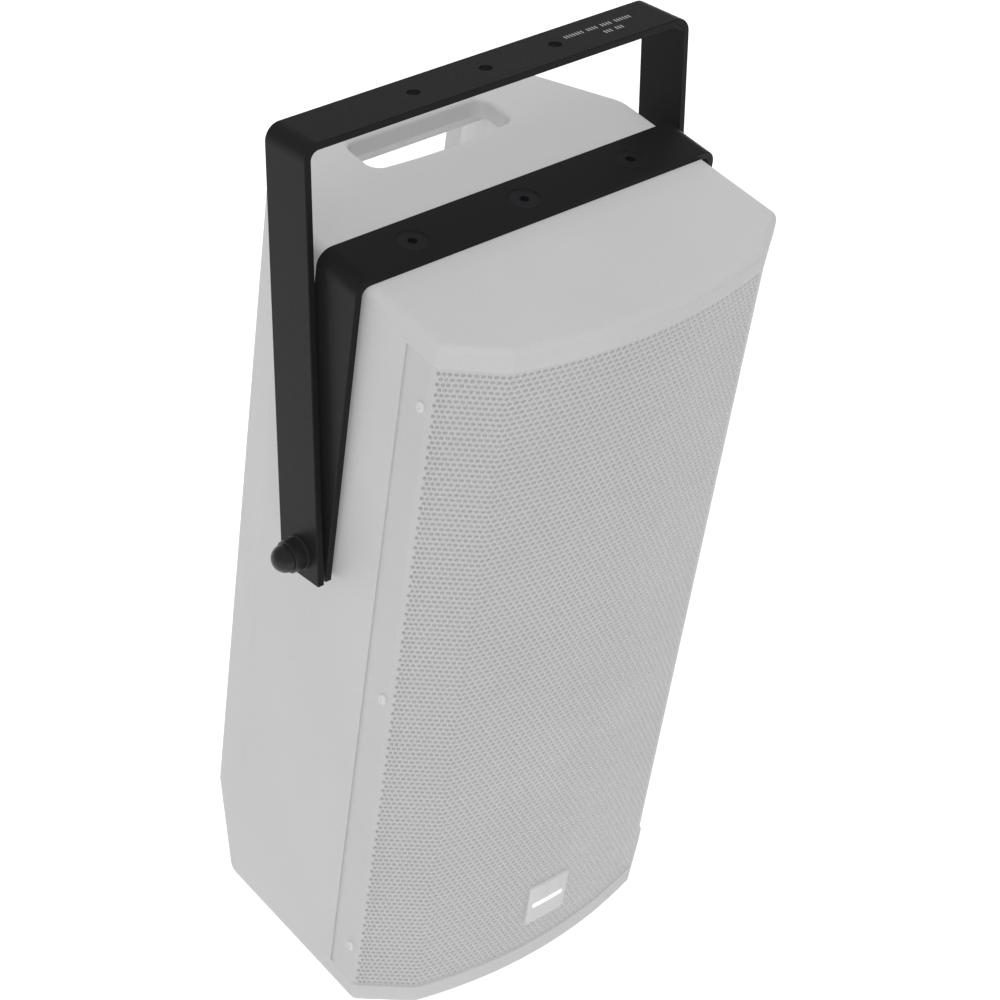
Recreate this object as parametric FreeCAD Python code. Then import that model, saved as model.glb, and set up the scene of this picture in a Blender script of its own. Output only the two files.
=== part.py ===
import FreeCAD, Part

import math
import os

# A portable two-driver loudspeaker cabinet with a tilting yoke bracket.
# Frame: X to the right, -Y to the front, +Z up.  The origin is the centre of the
# pole socket's mouth in the underside of the cabinet.  All lengths are millimetres.

V = FreeCAD.Vector
X_AXIS = V(1, 0, 0)
Y_AXIS = V(0, 1, 0)
Z_AXIS = V(0, 0, 1)

# ---- cabinet outline, seen from above ----
HEIGHT = 596.0
HALF_WIDTH = 140.0
REAR_Y = 144.0
REAR_HALF = 92.0          # half width of the narrow rear wall
KNEE_Y = 61.0             # where the straight side meets the angled rear wall
CORNER_Y = -89.0          # where the straight side meets the front facet
FACET_HALF = 104.0        # half width of the curved front
FACET_Y = -116.0
APEX_Y = -130.0
KNEE_R = 22.0
CORNER_R = 7.0
REAR_R = 8.0
EDGE_R = 6.4              # rounding of the top and bottom edges

# ---- panels ----
TOP_T = 15.0
BOTTOM_T = 18.0
WALL_T = 15.0
BAFFLE_FRONT = -84.0
BAFFLE_T = 18.0
BRACE_Z = 340.0
BRACE_T = 12.0
TOP_UNDER = HEIGHT - TOP_T
INNER_HALF = HALF_WIDTH - WALL_T

# ---- handle at the top rear ----
SLOT_HALF = 58.0
SLOT_FRONT = 75.7         # the slot's front edge, at the middle of its bow
SLOT_BOW = 3.6            # how much further back the ends of that edge lie
SLOT_REAR = 111.6
SLOT_R = 9.0
SLOT_RIM_R = 4.0
POCKET_HALF = 60.0
POCKET_WALL = 3.0
POCKET_SILL_Z = 510.0
GRIP_UNDER = 572.4

# ---- grille ----
GRILLE_T = 1.5
GRILLE_INSET = 1.5        # how far the grille lies behind the top and bottom panels
GRILLE_SIDE_X = 139.9
GRILLE_END_Y = -64.4      # rear edge of the side flange
RECESS_END_Y = -60.0      # rear edge of the recess that takes the flange
GRILLE_BEND_R = 8.0
GRILLE_GAP = 0.25
FOAM_T = 3.0
GRILLE_SCREW_Y = -80.2
GRILLE_SCREW_Z = (54.0, 300.0, 546.0)

# ---- badge ----
BADGE_W = 36.5
BADGE_H = 38.0
BADGE_T = 2.2
BADGE_Z = 63.6

# ---- bracket and yoke ----
STRAP_W = 40.0
STRAP_T = 5.0
BEND_R = 11.0
BRACKET_HALF = 148.0
BRACKET_FOOT_Z = 361.0
YOKE_HALF = 156.0
YOKE_RISE = 296.3         # pivot to the top face of the bar
YOKE_TAIL = 17.3          # pivot to the ends of the legs
YOKE_LEAN = 9.9           # degrees towards the rear, as set up
YOKE_HOLE_R = 4.5
YOKE_HOLE_PITCH = 57.5
PIVOT_Z = 376.0
PIVOT_R = 5.0
PIVOT_PLAY = 0.05
BRACKET_SCREW_X = (-90.0, 0.0, 90.0)
INSERT_R = 6.5

# ---- drivers, positions along the axis are measured back from the baffle's front ----
DRIVER_Z = (236.0, 456.0)
CUTOUT_R = 93.5
DRIVER_SCREW_R = 100.5
DRIVER_SCREWS = 8
FORMER_IN = 25.2
FORMER_OUT = 25.6
COIL_OUT = 26.6

# ---- ports, socket, feet and input panel ----
PORT_X = 74.0
PORT_Z = 70.0
PORT_R = 30.0
PORT_LENGTH = 110.0
SOCKET_R = 18.0
SOCKET_DEPTH = 82.0
SOCKET_FLANGE_R = 34.0
SOCKET_FLANGE_T = 2.5
SOCKET_SCREW_R = 27.0
FOOT_PLACES = ((-95.0, -62.0), (95.0, -62.0), (-72.0, 112.0), (72.0, 112.0))
FOOT_R = 15.0
FOOT_H = 6.0
INPUT_Z = 250.0
INPUT_HALF_W = 75.0
INPUT_HALF_H = 55.0
INPUT_PLATE_T = 2.0
SOCKETS_X = (-24.0, 24.0)
SOCKETS_Z = 272.0
BOARD_Z = 28.0
REAR_INSERT_Z = 470.0


# ---------------------------------------------------------------- helpers

def save(name, *solids):
    """Write one named piece, or one group of identical pieces."""
    flat = [s for shape in solids for s in shape.Solids]
    shape = flat[0] if len(flat) == 1 else Part.makeCompound(flat)
    shape.exportStep("parts/%s.step" % name)


def box(x0, x1, y0, y1, z0, z1):
    return Part.makeBox(x1 - x0, y1 - y0, z1 - z0, V(x0, y0, z0))


def cylinder(radius, length, at, axis):
    return Part.makeCylinder(radius, length, V(*at), axis)


def tube(outer, inner, length, at, axis):
    return cylinder(outer, length, at, axis).cut(cylinder(inner, length, at, axis))


def prism(points, z0, z1):
    """A straight-sided block on a plan polygon."""
    corners = [V(x, y, z0) for x, y in points]
    face = Part.Face(Part.makePolygon(corners + corners[:1]))
    return face.extrude(V(0, 0, z1 - z0))


def mirrored(shape):
    return shape.mirror(V(0, 0, 0), X_AXIS)


def fused(first, *others):
    whole = first.multiFuse(list(others)).removeSplitter()
    return whole.Solids[0] if len(whole.Solids) == 1 else whole


def edges_along(shape, axis, keep):
    """Straight edges parallel to an axis whose midpoint passes the test."""
    found = []
    for edge in shape.Edges:
        ends = edge.Vertexes
        if len(ends) != 2 or not isinstance(edge.Curve, Part.Line):
            continue
        run = ends[1].Point.sub(ends[0].Point)
        middle = ends[0].Point.add(run.multiply(0.5))
        direction = ends[1].Point.sub(ends[0].Point).normalize()
        if abs(abs(direction.dot(axis)) - 1) < 1e-6 and keep(middle):
            found.append(edge)
    return found


def circles(shape, keep):
    """Circular edges that pass a test of their centre and radius."""
    found = []
    for edge in shape.Edges:
        if edge.Degenerated or not isinstance(edge.Curve, Part.Circle):
            continue
        if keep(edge.Curve.Center, edge.Curve.Radius):
            found.append(edge)
    return found


def face_rim(shape, axis, level):
    """The edges round the flat face that lies at a level along an axis."""
    rim = []
    for edge in shape.Edges:
        points = edge.discretize(5)
        if all(abs(p.dot(axis) - level) < 1e-4 for p in points):
            rim.append(edge)
    return rim


# ---------------------------------------------------------------- plan outline

def front_outline(side_x, inset, rear_points):
    """The plan outline: sides, facets and curved front, all moved in by an inset."""
    run = V(HALF_WIDTH - FACET_HALF, CORNER_Y - FACET_Y, 0).normalize()
    outward = V(run.y, -run.x, 0)
    start = V(FACET_HALF, FACET_Y, 0).sub(outward * inset)
    corner = V(side_x, start.y + (side_x - start.x) * run.y / run.x, 0)
    sagitta = FACET_Y - APEX_Y
    arc_r = (FACET_HALF ** 2 + sagitta ** 2) / (2 * sagitta)
    to_start = start.sub(V(0, APEX_Y + arc_r, 0))
    along = to_start.dot(run)
    reach = math.sqrt((arc_r - inset) ** 2 - to_start.Length ** 2 + along ** 2)
    crease = start.add(run * (-along - reach))
    left = [V(-x, y, 0) for x, y in rear_points] + [V(-corner.x, corner.y, 0), V(-crease.x, crease.y, 0)]
    right = [V(-p.x, p.y, 0) for p in reversed(left)]
    edges = [Part.makeLine(a, b) for a, b in zip(left, left[1:])]
    edges.append(Part.Arc(left[-1], V(0, APEX_Y + inset, 0), right[0]).toShape())
    edges += [Part.makeLine(a, b) for a, b in zip(right, right[1:])]
    edges.append(Part.makeLine(right[-1], left[0]))
    return Part.Wire(edges)


def cabinet_block(z0, z1):
    """The cabinet's full outline as a block with its upright edges rounded."""
    wire = front_outline(HALF_WIDTH, 0.0, [(REAR_HALF, REAR_Y), (HALF_WIDTH, KNEE_Y)])
    wire.translate(V(0, 0, z0))
    block = Part.Face(wire).extrude(V(0, 0, z1 - z0))
    uprights = ((KNEE_R, HALF_WIDTH, KNEE_Y), (CORNER_R, HALF_WIDTH, CORNER_Y), (REAR_R, REAR_HALF, REAR_Y))
    for radius, x, y in uprights:
        near = edges_along(block, Z_AXIS, lambda p: abs(abs(p.x) - x) < 1 and abs(p.y - y) < 1)
        block = block.makeFillet(radius, near)
    return block


def sheet_block(side_x, inset, end_y, radius, z0, z1):
    """The outline of the grille or foam as a block, from its side ends forward."""
    wire = front_outline(side_x, inset, [(side_x, end_y)])
    wire.translate(V(0, 0, z0))
    block = Part.Face(wire).extrude(V(0, 0, z1 - z0))
    corners = edges_along(block, Z_AXIS, lambda p: abs(abs(p.x) - side_x) < 0.01 and p.y < end_y - 1)
    return block.makeFillet(radius, corners) if radius else block


# ---------------------------------------------------------------- fasteners

def pan_screw(at, axis, head_r, head_h, shank_r, length):
    """A screw with a low round cross-slotted head; 'axis' points out of the head."""
    at = V(*at)
    head = Part.makeCylinder(head_r, head_h, at, axis)
    crown = circles(head, lambda centre, r: centre.sub(at).dot(axis) > head_h * 0.5)
    head = head.makeFillet(head_h * 0.45, crown)
    slot_l = head_r * 1.1
    slot_w = head_r * 0.28
    cross = box(-slot_l / 2, slot_l / 2, -slot_w / 2, slot_w / 2, -head_h * 0.5, head_h)
    cross = cross.fuse(cross.rotated(V(), Z_AXIS, 90))
    cross.Placement = FreeCAD.Placement(at + axis * head_h, FreeCAD.Rotation(Z_AXIS, axis))
    shank = Part.makeCylinder(shank_r, length, at, axis * -1)
    return fused(head.cut(cross), shank)


def hexagon_bar(across, length):
    """A hexagonal bar along +Z from the origin; 'across' is measured over its corners."""
    ring = []
    for i in range(6):
        angle = math.radians(60 * i)
        ring.append(V(across / 2 * math.cos(angle), across / 2 * math.sin(angle), 0))
    return Part.Face(Part.makePolygon(ring + ring[:1])).extrude(V(0, 0, length))


def flush_blank(at, axis, head_r, head_h, shank_r, length):
    """The solid form of a countersunk screw, which is also the hole it fills."""
    head = Part.makeCone(head_r, shank_r, head_h, V(*at), axis * -1)
    shank = Part.makeCylinder(shank_r, length, V(*at), axis * -1)
    return fused(head, shank)


def with_hex_socket(blank, at, axis, across, depth):
    socket = hexagon_bar(across, depth)
    socket.Placement = FreeCAD.Placement(V(*at), FreeCAD.Rotation(Z_AXIS, axis * -1))
    return blank.cut(socket)


# ---------------------------------------------------------------- cabinet

def insert_hole(at, axis):
    return Part.makeCylinder(INSERT_R, WALL_T + 1, V(*at), axis)


def handle_slot():
    """The opening in the top panel as a block, its front edge gently bowed."""
    end_y = SLOT_FRONT + SLOT_BOW
    corners = [V(-SLOT_HALF, end_y, 0), V(-SLOT_HALF, SLOT_REAR, 0),
               V(SLOT_HALF, SLOT_REAR, 0), V(SLOT_HALF, end_y, 0)]
    edges = [Part.makeLine(a, b) for a, b in zip(corners, corners[1:])]
    edges.append(Part.Arc(corners[-1], V(0, SLOT_FRONT, 0), corners[0]).toShape())
    wire = Part.Wire(edges)
    wire.translate(V(0, 0, TOP_UNDER - 1))
    block = Part.Face(wire).extrude(V(0, 0, TOP_T + 2))
    return block.makeFillet(SLOT_R, edges_along(block, Z_AXIS, lambda p: True))


def top_panel():
    panel = cabinet_block(TOP_UNDER, HEIGHT)
    panel = panel.makeFillet(EDGE_R, face_rim(panel, Z_AXIS, HEIGHT))
    panel = panel.cut(handle_slot())
    rim = [e for e in face_rim(panel, Z_AXIS, HEIGHT)
           if abs(e.CenterOfMass.x) <= SLOT_HALF and SLOT_FRONT - 1 < e.CenterOfMass.y < SLOT_REAR + 1]
    panel = panel.makeFillet(SLOT_RIM_R, rim)
    for x in BRACKET_SCREW_X:
        panel = panel.cut(insert_hole((x, 0, HEIGHT), Z_AXIS * -1))
    return panel


def bottom_panel():
    panel = cabinet_block(0, BOTTOM_T)
    panel = panel.makeFillet(EDGE_R, face_rim(panel, Z_AXIS, 0))
    panel = panel.cut(cylinder(SOCKET_R + 2.5, BOTTOM_T, (0, 0, 0), Z_AXIS))
    panel = panel.cut(cylinder(SOCKET_FLANGE_R + 0.2, SOCKET_FLANGE_T, (0, 0, 0), Z_AXIS))
    for screw in bottom_screw_blanks():
        panel = panel.cut(screw)
    return panel


def side_panel():
    """The right side, recessed at its front for the grille's flange and chamfered for its bend."""
    chamfer = 4.0
    panel = prism([(INNER_HALF, BAFFLE_FRONT), (HALF_WIDTH - chamfer, BAFFLE_FRONT),
                   (HALF_WIDTH, BAFFLE_FRONT + chamfer), (HALF_WIDTH, KNEE_Y), inner_knee()],
                  BOTTOM_T, TOP_UNDER)
    panel = panel.common(cabinet_block(BOTTOM_T, TOP_UNDER))
    recess_x = GRILLE_SIDE_X - GRILLE_T
    recess = box(recess_x, HALF_WIDTH + 1, CORNER_Y, RECESS_END_Y, BOTTOM_T, TOP_UNDER)
    panel = panel.cut(recess)
    for z in GRILLE_SCREW_Z:
        panel = panel.cut(cylinder(2.0, 14, (recess_x - 14, GRILLE_SCREW_Y, z), X_AXIS))
    return panel


def rear_run():
    """Unit direction of the angled rear wall, from the knee to the rear corner."""
    return V(REAR_HALF - HALF_WIDTH, REAR_Y - KNEE_Y, 0).normalize()


def inner_knee():
    """The inside corner between a side and its angled wall, as x and y."""
    run = rear_run()
    return INNER_HALF, KNEE_Y - WALL_T * (1 - run.y) / abs(run.x)


def inner_rear_corner():
    """The inside corner between an angled wall and the rear wall, as x and y."""
    run = rear_run()
    return REAR_HALF - WALL_T * (1 + run.x) / run.y, REAR_Y - WALL_T


def angled_panel():
    """The right angled wall between the side and the rear wall, mitred at both ends."""
    corners = [(HALF_WIDTH, KNEE_Y), (REAR_HALF, REAR_Y), inner_rear_corner(), inner_knee()]
    return prism(corners, BOTTOM_T, TOP_UNDER).common(cabinet_block(BOTTOM_T, TOP_UNDER))


def rear_panel():
    x, y = inner_rear_corner()
    panel = prism([(REAR_HALF, REAR_Y), (x, y), (-x, y), (-REAR_HALF, REAR_Y)], BOTTOM_T, TOP_UNDER)
    panel = panel.common(cabinet_block(BOTTOM_T, TOP_UNDER))
    opening = box(-POCKET_HALF, POCKET_HALF, y - 1, REAR_Y + 1, POCKET_SILL_Z, GRIP_UNDER)
    opening = opening.makeFillet(12.0, edges_along(opening, Y_AXIS, lambda p: True))
    panel = panel.cut(opening)
    panel = panel.cut(input_plate_block())
    hatch = box(-INPUT_HALF_W + 10, INPUT_HALF_W - 10, y - 1, REAR_Y, INPUT_Z - INPUT_HALF_H + 10,
                INPUT_Z + INPUT_HALF_H - 10)
    panel = panel.cut(hatch)
    panel = panel.cut(insert_hole((0, REAR_Y, REAR_INSERT_Z), Y_AXIS * -1))
    for screw in input_panel_screws():
        panel = panel.cut(screw)
    return panel


def front_baffle():
    baffle = box(-INNER_HALF, INNER_HALF, BAFFLE_FRONT, BAFFLE_FRONT + BAFFLE_T, BOTTOM_T, TOP_UNDER)
    for z in DRIVER_Z:
        baffle = baffle.cut(cylinder(CUTOUT_R, BAFFLE_T, (0, BAFFLE_FRONT, z), Y_AXIS))
    for x in (-PORT_X, PORT_X):
        baffle = baffle.cut(cylinder(PORT_R + 3.0, BAFFLE_T, (x, BAFFLE_FRONT, PORT_Z), Y_AXIS))
    for screw in driver_screws():
        baffle = baffle.cut(screw)
    return baffle


def window_brace():
    """A shelf between the two drivers that ties the four walls together."""
    front = BAFFLE_FRONT + BAFFLE_T
    knee_x, knee_y = inner_knee()
    rear_x, rear_y = inner_rear_corner()
    half = [(INNER_HALF, front), (knee_x, knee_y), (rear_x, rear_y)]
    outline = half + [(-x, y) for x, y in reversed(half)]
    shelf = prism(outline, BRACE_Z, BRACE_Z + BRACE_T)
    window = box(-72, 72, front + 30, rear_y - 26, BRACE_Z, BRACE_Z + BRACE_T)
    window = window.makeFillet(20.0, edges_along(window, Z_AXIS, lambda p: True))
    return shelf.cut(window)


def handle_pocket():
    """A moulded scoop that closes the cabinet behind the handle's two openings."""
    rear = REAR_Y - WALL_T

    def scoop(half, wall):
        front = SLOT_FRONT - wall
        sill = POCKET_SILL_Z - wall
        profile = [V(-half, front, TOP_UNDER), V(-half, rear, TOP_UNDER), V(-half, rear, sill),
                   V(-half, rear - 18, sill), V(-half, front, 545 - wall)]
        body = Part.Face(Part.makePolygon(profile + profile[:1])).extrude(V(2 * half, 0, 0))
        bend = edges_along(body, X_AXIS, lambda p: p.z < TOP_UNDER - 1 and p.y < rear - 1)
        return body.makeFillet(14.0 + wall, bend)

    return scoop(POCKET_HALF + POCKET_WALL, POCKET_WALL).cut(scoop(POCKET_HALF, 0.0))


def handle_grip():
    """The bar the fingers close round, under the top panel and against the rear wall."""
    grip = box(-POCKET_HALF, POCKET_HALF, SLOT_REAR, REAR_Y - WALL_T, GRIP_UNDER, TOP_UNDER)
    lower_front = edges_along(grip, X_AXIS, lambda p: p.y < SLOT_REAR + 1 and p.z < GRIP_UNDER + 1)
    return grip.makeFillet(6.0, lower_front)


# ---------------------------------------------------------------- grille and badge

def grille():
    z0 = BOTTOM_T + GRILLE_GAP
    z1 = TOP_UNDER - GRILLE_GAP
    outer = sheet_block(GRILLE_SIDE_X, GRILLE_INSET, GRILLE_END_Y, GRILLE_BEND_R, z0, z1)
    inner = sheet_block(GRILLE_SIDE_X - GRILLE_T, GRILLE_INSET + GRILLE_T, GRILLE_END_Y + 5,
                        GRILLE_BEND_R - GRILLE_T, z0, z1)
    sheet = outer.cut(inner)
    for z in GRILLE_SCREW_Z:
        hole = cylinder(2.0, 2 * HALF_WIDTH, (-HALF_WIDTH, GRILLE_SCREW_Y, z), X_AXIS)
        sheet = sheet.cut(hole)
    return sheet


def grille_foam():
    clearance = 0.3
    inset = GRILLE_INSET + GRILLE_T + clearance
    side_x = GRILLE_SIDE_X - GRILLE_T - clearance
    end_y = BAFFLE_FRONT - 0.5
    z0 = BOTTOM_T + 1
    z1 = TOP_UNDER - 1
    outer = sheet_block(side_x - 2, inset, end_y, 0, z0, z1)
    inner = sheet_block(side_x - 2 - FOAM_T, inset + FOAM_T, end_y + 5, 0, z0, z1)
    return outer.cut(inner)


def grille_screws():
    """Three screws through the flange on each side."""
    screws = []
    for z in GRILLE_SCREW_Z:
        right = pan_screw((GRILLE_SIDE_X, GRILLE_SCREW_Y, z), X_AXIS, 3.5, 2.0, 1.95, 14)
        screws += [right, mirrored(right)]
    return screws


def curved_tile(width, z0, z1, standoff, thickness, corner_r):
    """A tile that follows the grille's curve, standing off its face."""
    back_inset = GRILLE_INSET - standoff
    front = sheet_block(GRILLE_SIDE_X, back_inset - thickness, 0, 0, z0, z1)
    back = sheet_block(GRILLE_SIDE_X, back_inset, 5, 0, z0, z1)
    window = box(-width / 2, width / 2, APEX_Y - 10, APEX_Y + 10, z0, z1)
    window = window.makeFillet(corner_r, edges_along(window, Y_AXIS, lambda p: True))
    return front.cut(back).common(window)


def badge_plate():
    """A blank plate that follows the curve of the grille."""
    plate = curved_tile(BADGE_W, BADGE_Z - BADGE_H / 2, BADGE_Z + BADGE_H / 2, 0, BADGE_T, 2.0)
    front_face = min(plate.Faces, key=lambda f: f.CenterOfMass.y)
    return plate.makeFillet(0.6, front_face.Edges)


def badge_mark():
    """A plain raised bar across the badge."""
    return curved_tile(BADGE_W - 8.0, BADGE_Z - 2.0, BADGE_Z + 2.0, BADGE_T, 0.4, 1.9)


# ---------------------------------------------------------------- bracket, pivots and yoke

def strap(half, foot, rise):
    """A U of flat strap in the XZ plane, centred on Y."""
    y0 = -STRAP_W / 2
    y1 = STRAP_W / 2
    outer = box(-half, half, y0, y1, foot, rise)
    outer = outer.makeFillet(BEND_R, edges_along(outer, Y_AXIS, lambda p: p.z > rise - 1))
    inner = box(STRAP_T - half, half - STRAP_T, y0, y1, foot, rise - STRAP_T)
    inner_bends = edges_along(inner, Y_AXIS, lambda p: p.z > rise - STRAP_T - 1)
    inner = inner.makeFillet(BEND_R - STRAP_T, inner_bends)
    band = outer.cut(inner)
    long_edges = [e for e in face_rim(band, Y_AXIS, y0) + face_rim(band, Y_AXIS, y1)
                  if e.Length > STRAP_T + 0.1]
    return band.makeFillet(0.7, long_edges)


def mounting_bracket():
    """The fixed U bracket: three countersunk holes on top and a pivot hole in each leg."""
    bracket = strap(BRACKET_HALF, BRACKET_FOOT_Z, HEIGHT + STRAP_T)
    for x in BRACKET_SCREW_X:
        countersink = Part.makeCone(6.05, 11.05, STRAP_T, V(x, 0, HEIGHT), Z_AXIS)
        bracket = bracket.cut(countersink)
    return bracket.cut(cylinder(PIVOT_R, 2 * YOKE_HALF, (-YOKE_HALF, 0, PIVOT_Z), X_AXIS))


def bracket_screws():
    """Three countersunk socket screws that hold the bracket to the top panel."""
    screws = []
    for x in BRACKET_SCREW_X:
        at = (x, 0, HEIGHT + 4)
        blank = flush_blank(at, Z_AXIS, 10.0, 5.0, PIVOT_R, 25.0)
        screws.append(with_hex_socket(blank, at, Z_AXIS, 6.93, 3.6))
    return screws


def flanged_insert(at, axis):
    """A threaded sleeve set into a panel from inside; 'at' is its mouth, 'axis' points inwards."""
    length = WALL_T - 1
    sleeve = Part.makeCylinder(INSERT_R, length, V(*at), axis)
    flange = Part.makeCylinder(12.0, 2.0, V(*at) + axis * length, axis)
    bore = Part.makeCylinder(PIVOT_R + 0.02, length + 2, V(*at), axis)
    return fused(sleeve, flange).cut(bore)


def threaded_inserts():
    tops = [flanged_insert((x, 0, HEIGHT - 1), Z_AXIS * -1) for x in BRACKET_SCREW_X]
    return tops + [flanged_insert((0, REAR_Y - 1, REAR_INSERT_Z), Y_AXIS * -1)]


def pivot_studs():
    """A stud fixed in each bracket leg, on which the yoke turns."""
    length = YOKE_HALF + 14 - (BRACKET_HALF - STRAP_T)
    stud = cylinder(PIVOT_R, length, (BRACKET_HALF - STRAP_T, 0, PIVOT_Z), X_AXIS)
    return [stud, mirrored(stud)]


def friction_washers():
    """A plain washer between each bracket leg and the yoke leg outside it."""
    gap = YOKE_HALF - STRAP_T - BRACKET_HALF
    washer = tube(12.0, PIVOT_R + 0.1, gap - PIVOT_PLAY, (BRACKET_HALF, 0, PIVOT_Z), X_AXIS)
    return [washer, mirrored(washer)]


def outer_washers():
    washer = tube(12.0, PIVOT_R + 0.1, 1.5, (YOKE_HALF + PIVOT_PLAY, 0, PIVOT_Z), X_AXIS)
    return [washer, mirrored(washer)]


def pivot_nuts():
    start = YOKE_HALF + PIVOT_PLAY + 1.5
    nut = hexagon_bar(19.6, 8)
    nut.Placement = FreeCAD.Placement(V(start, 0, PIVOT_Z), FreeCAD.Rotation(Z_AXIS, X_AXIS))
    nut = nut.cut(cylinder(PIVOT_R + 0.02, 10, (start - 1, 0, PIVOT_Z), X_AXIS))
    return [nut, mirrored(nut)]


def nut_caps():
    """A domed cover over each nut: a short round skirt with a rim, then the dome."""
    start = YOKE_HALF + PIVOT_PLAY + 1.5
    skirt_r = 11.2
    skirt = 8.5
    dome_r = 9.6
    centre_x = YOKE_HALF + 11.0
    outer = fused(cylinder(skirt_r, skirt, (start, 0, PIVOT_Z), X_AXIS),
                  cylinder(dome_r, centre_x - start, (start, 0, PIVOT_Z), X_AXIS),
                  Part.makeSphere(dome_r, V(centre_x, 0, PIVOT_Z)).common(
                      box(centre_x, centre_x + 20, -20, 20, PIVOT_Z - 20, PIVOT_Z + 20)))
    hollow = fused(cylinder(10.0, 8.1, (start, 0, PIVOT_Z), X_AXIS),
                   cylinder(PIVOT_R + 1.0, YOKE_HALF + 15 - start, (start, 0, PIVOT_Z), X_AXIS))
    rim = circles(outer, lambda centre, r: abs(r - skirt_r) < 0.01 and centre.x > start + 1)
    cap = outer.makeFillet(0.8, rim).cut(hollow)
    return [cap, mirrored(cap)]


def yoke_strap():
    """The tilting U: three fixing holes in its bar and a pivot hole at each leg's end."""
    yoke = strap(YOKE_HALF, -YOKE_TAIL, YOKE_RISE)
    for x in (-YOKE_HOLE_PITCH, 0, YOKE_HOLE_PITCH):
        yoke = yoke.cut(cylinder(YOKE_HOLE_R, STRAP_T, (x, 0, YOKE_RISE - STRAP_T), Z_AXIS))
    yoke = yoke.cut(cylinder(PIVOT_R + PIVOT_PLAY, 2 * YOKE_HALF, (-YOKE_HALF, 0, 0), X_AXIS))
    yoke.rotate(V(0, 0, 0), X_AXIS, -YOKE_LEAN)
    yoke.translate(V(0, 0, PIVOT_Z))
    return yoke


# ---------------------------------------------------------------- drivers

def lathe(profile, centre_z):
    """Turn a closed profile of (radius, depth behind the baffle's front) about a driver's axis."""
    points = [V(r, BAFFLE_FRONT + w, centre_z) for r, w in profile]
    face = Part.Face(Part.makePolygon(points + points[:1]))
    return face.revolve(V(0, 0, centre_z), Y_AXIS, 360)


def disc(outer, inner, w0, w1, centre_z):
    """A flat ring on a driver's axis, or a solid disc when the inner radius is 0."""
    at = (0, BAFFLE_FRONT + w0, centre_z)
    return tube(outer, inner, w1 - w0, at, Y_AXIS) if inner else cylinder(outer, w1 - w0, at, Y_AXIS)


def basket(centre_z):
    """The cast frame: bolting flange, ledge for the surround, shelf for the spider, rear seat."""
    frame = lathe([(105, -4), (96, -4), (96, -1.5), (90, -1.5), (90, 3), (67, 42), (48, 42), (48, 44),
                   (64, 44), (60, 50), (29, 50), (29, 54), (63, 54), (70, 44), (93, 3), (93, 0), (105, 0)],
                  centre_z)
    for i in range(6):
        window = box(50, 100, BAFFLE_FRONT + 8, BAFFLE_FRONT + 38, centre_z - 17, centre_z + 17)
        window.rotate(V(0, 0, centre_z), Y_AXIS, 60 * i + 30)
        frame = frame.cut(window)
    for screw in driver_screws():
        if abs(screw.CenterOfMass.z - centre_z) < DRIVER_SCREW_R + 1:
            frame = frame.cut(screw)
    return frame


def driver_gasket(centre_z):
    return disc(96, 91.5, -6, -2.7, centre_z)


def surround(centre_z):
    """A rubber half roll with a flat lip on each side."""
    middle_r = 84.5
    at = V(0, BAFFLE_FRONT - 1.5, centre_z)
    roll = Part.makeTorus(middle_r, 6.1, at, Y_AXIS).cut(Part.makeTorus(middle_r, 4.9, at, Y_AXIS))
    roll = roll.common(disc(CUTOUT_R, 0, -12, -1.5, centre_z))
    lips = disc(96, 89.6, -2.7, -1.5, centre_z), disc(79.4, 76, -2.7, -1.5, centre_z)
    return fused(roll, *lips)


def spider(centre_z):
    """A corrugated disc that centres the coil."""
    steps = 8
    crests = [(26.7 + 2.6 * i, 41.0 + (0.9 if i % 2 else -0.9)) for i in range(steps)]
    front = [(FORMER_OUT + 0.05, 40.6)] + crests + [(48.0, 41.3), (54.0, 41.3)]
    back = [(r, w + 0.7) for r, w in reversed(front)]
    return lathe(front + back, centre_z)


def top_plate(centre_z):
    return disc(55, 27.4, 54, 62, centre_z)


def magnet(centre_z):
    return disc(60, 32, 62, 82, centre_z)


def pole_piece(centre_z, bore):
    pole = fused(disc(57, 0, 82, 90, centre_z), disc(24.6, 0, 53, 83, centre_z))
    return pole.cut(disc(bore, 0, 50, 95, centre_z))


def cone(centre_z):
    """The paper cone, from its flat outer edge down to its neck on the coil former."""
    return lathe([(79, -1.5), (76, -1.5), (27, 30.0), (FORMER_OUT + 0.05, 30.0), (FORMER_OUT + 0.05, 33.0),
                  (27.6, 33.0), (76.6, -0.1), (79, -0.1)], centre_z)


def voice_coil(centre_z):
    """The coil former with its winding, centred in the magnet's gap."""
    former = disc(FORMER_OUT, FORMER_IN, 30, 66, centre_z)
    return fused(former, disc(COIL_OUT, FORMER_OUT - 0.1, 51, 65, centre_z))


def dust_cap(centre_z):
    """A shallow dome glued over the middle of the lower cone."""
    base_r = 30.0
    rise = 10.0
    radius = (base_r ** 2 + rise ** 2) / (2 * rise)
    base_w = 27.9
    centre = V(0, BAFFLE_FRONT + base_w - rise + radius, centre_z)
    shell = Part.makeSphere(radius, centre).cut(Part.makeSphere(radius - 0.8, centre))
    return shell.common(disc(base_r + 1, 0, base_w - rise - 1, base_w, centre_z))


def hf_waveguide(centre_z):
    """A short horn on the front of the upper driver's pole."""
    return lathe([(13, 53), (16, 36), (23.4, 22), (24.6, 22), (18, 36), (17, 53)], centre_z)


def hf_body(centre_z):
    return disc(42, 13, 90, 96, centre_z)


def hf_magnet(centre_z):
    return disc(40, 26, 96, 110, centre_z)


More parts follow.
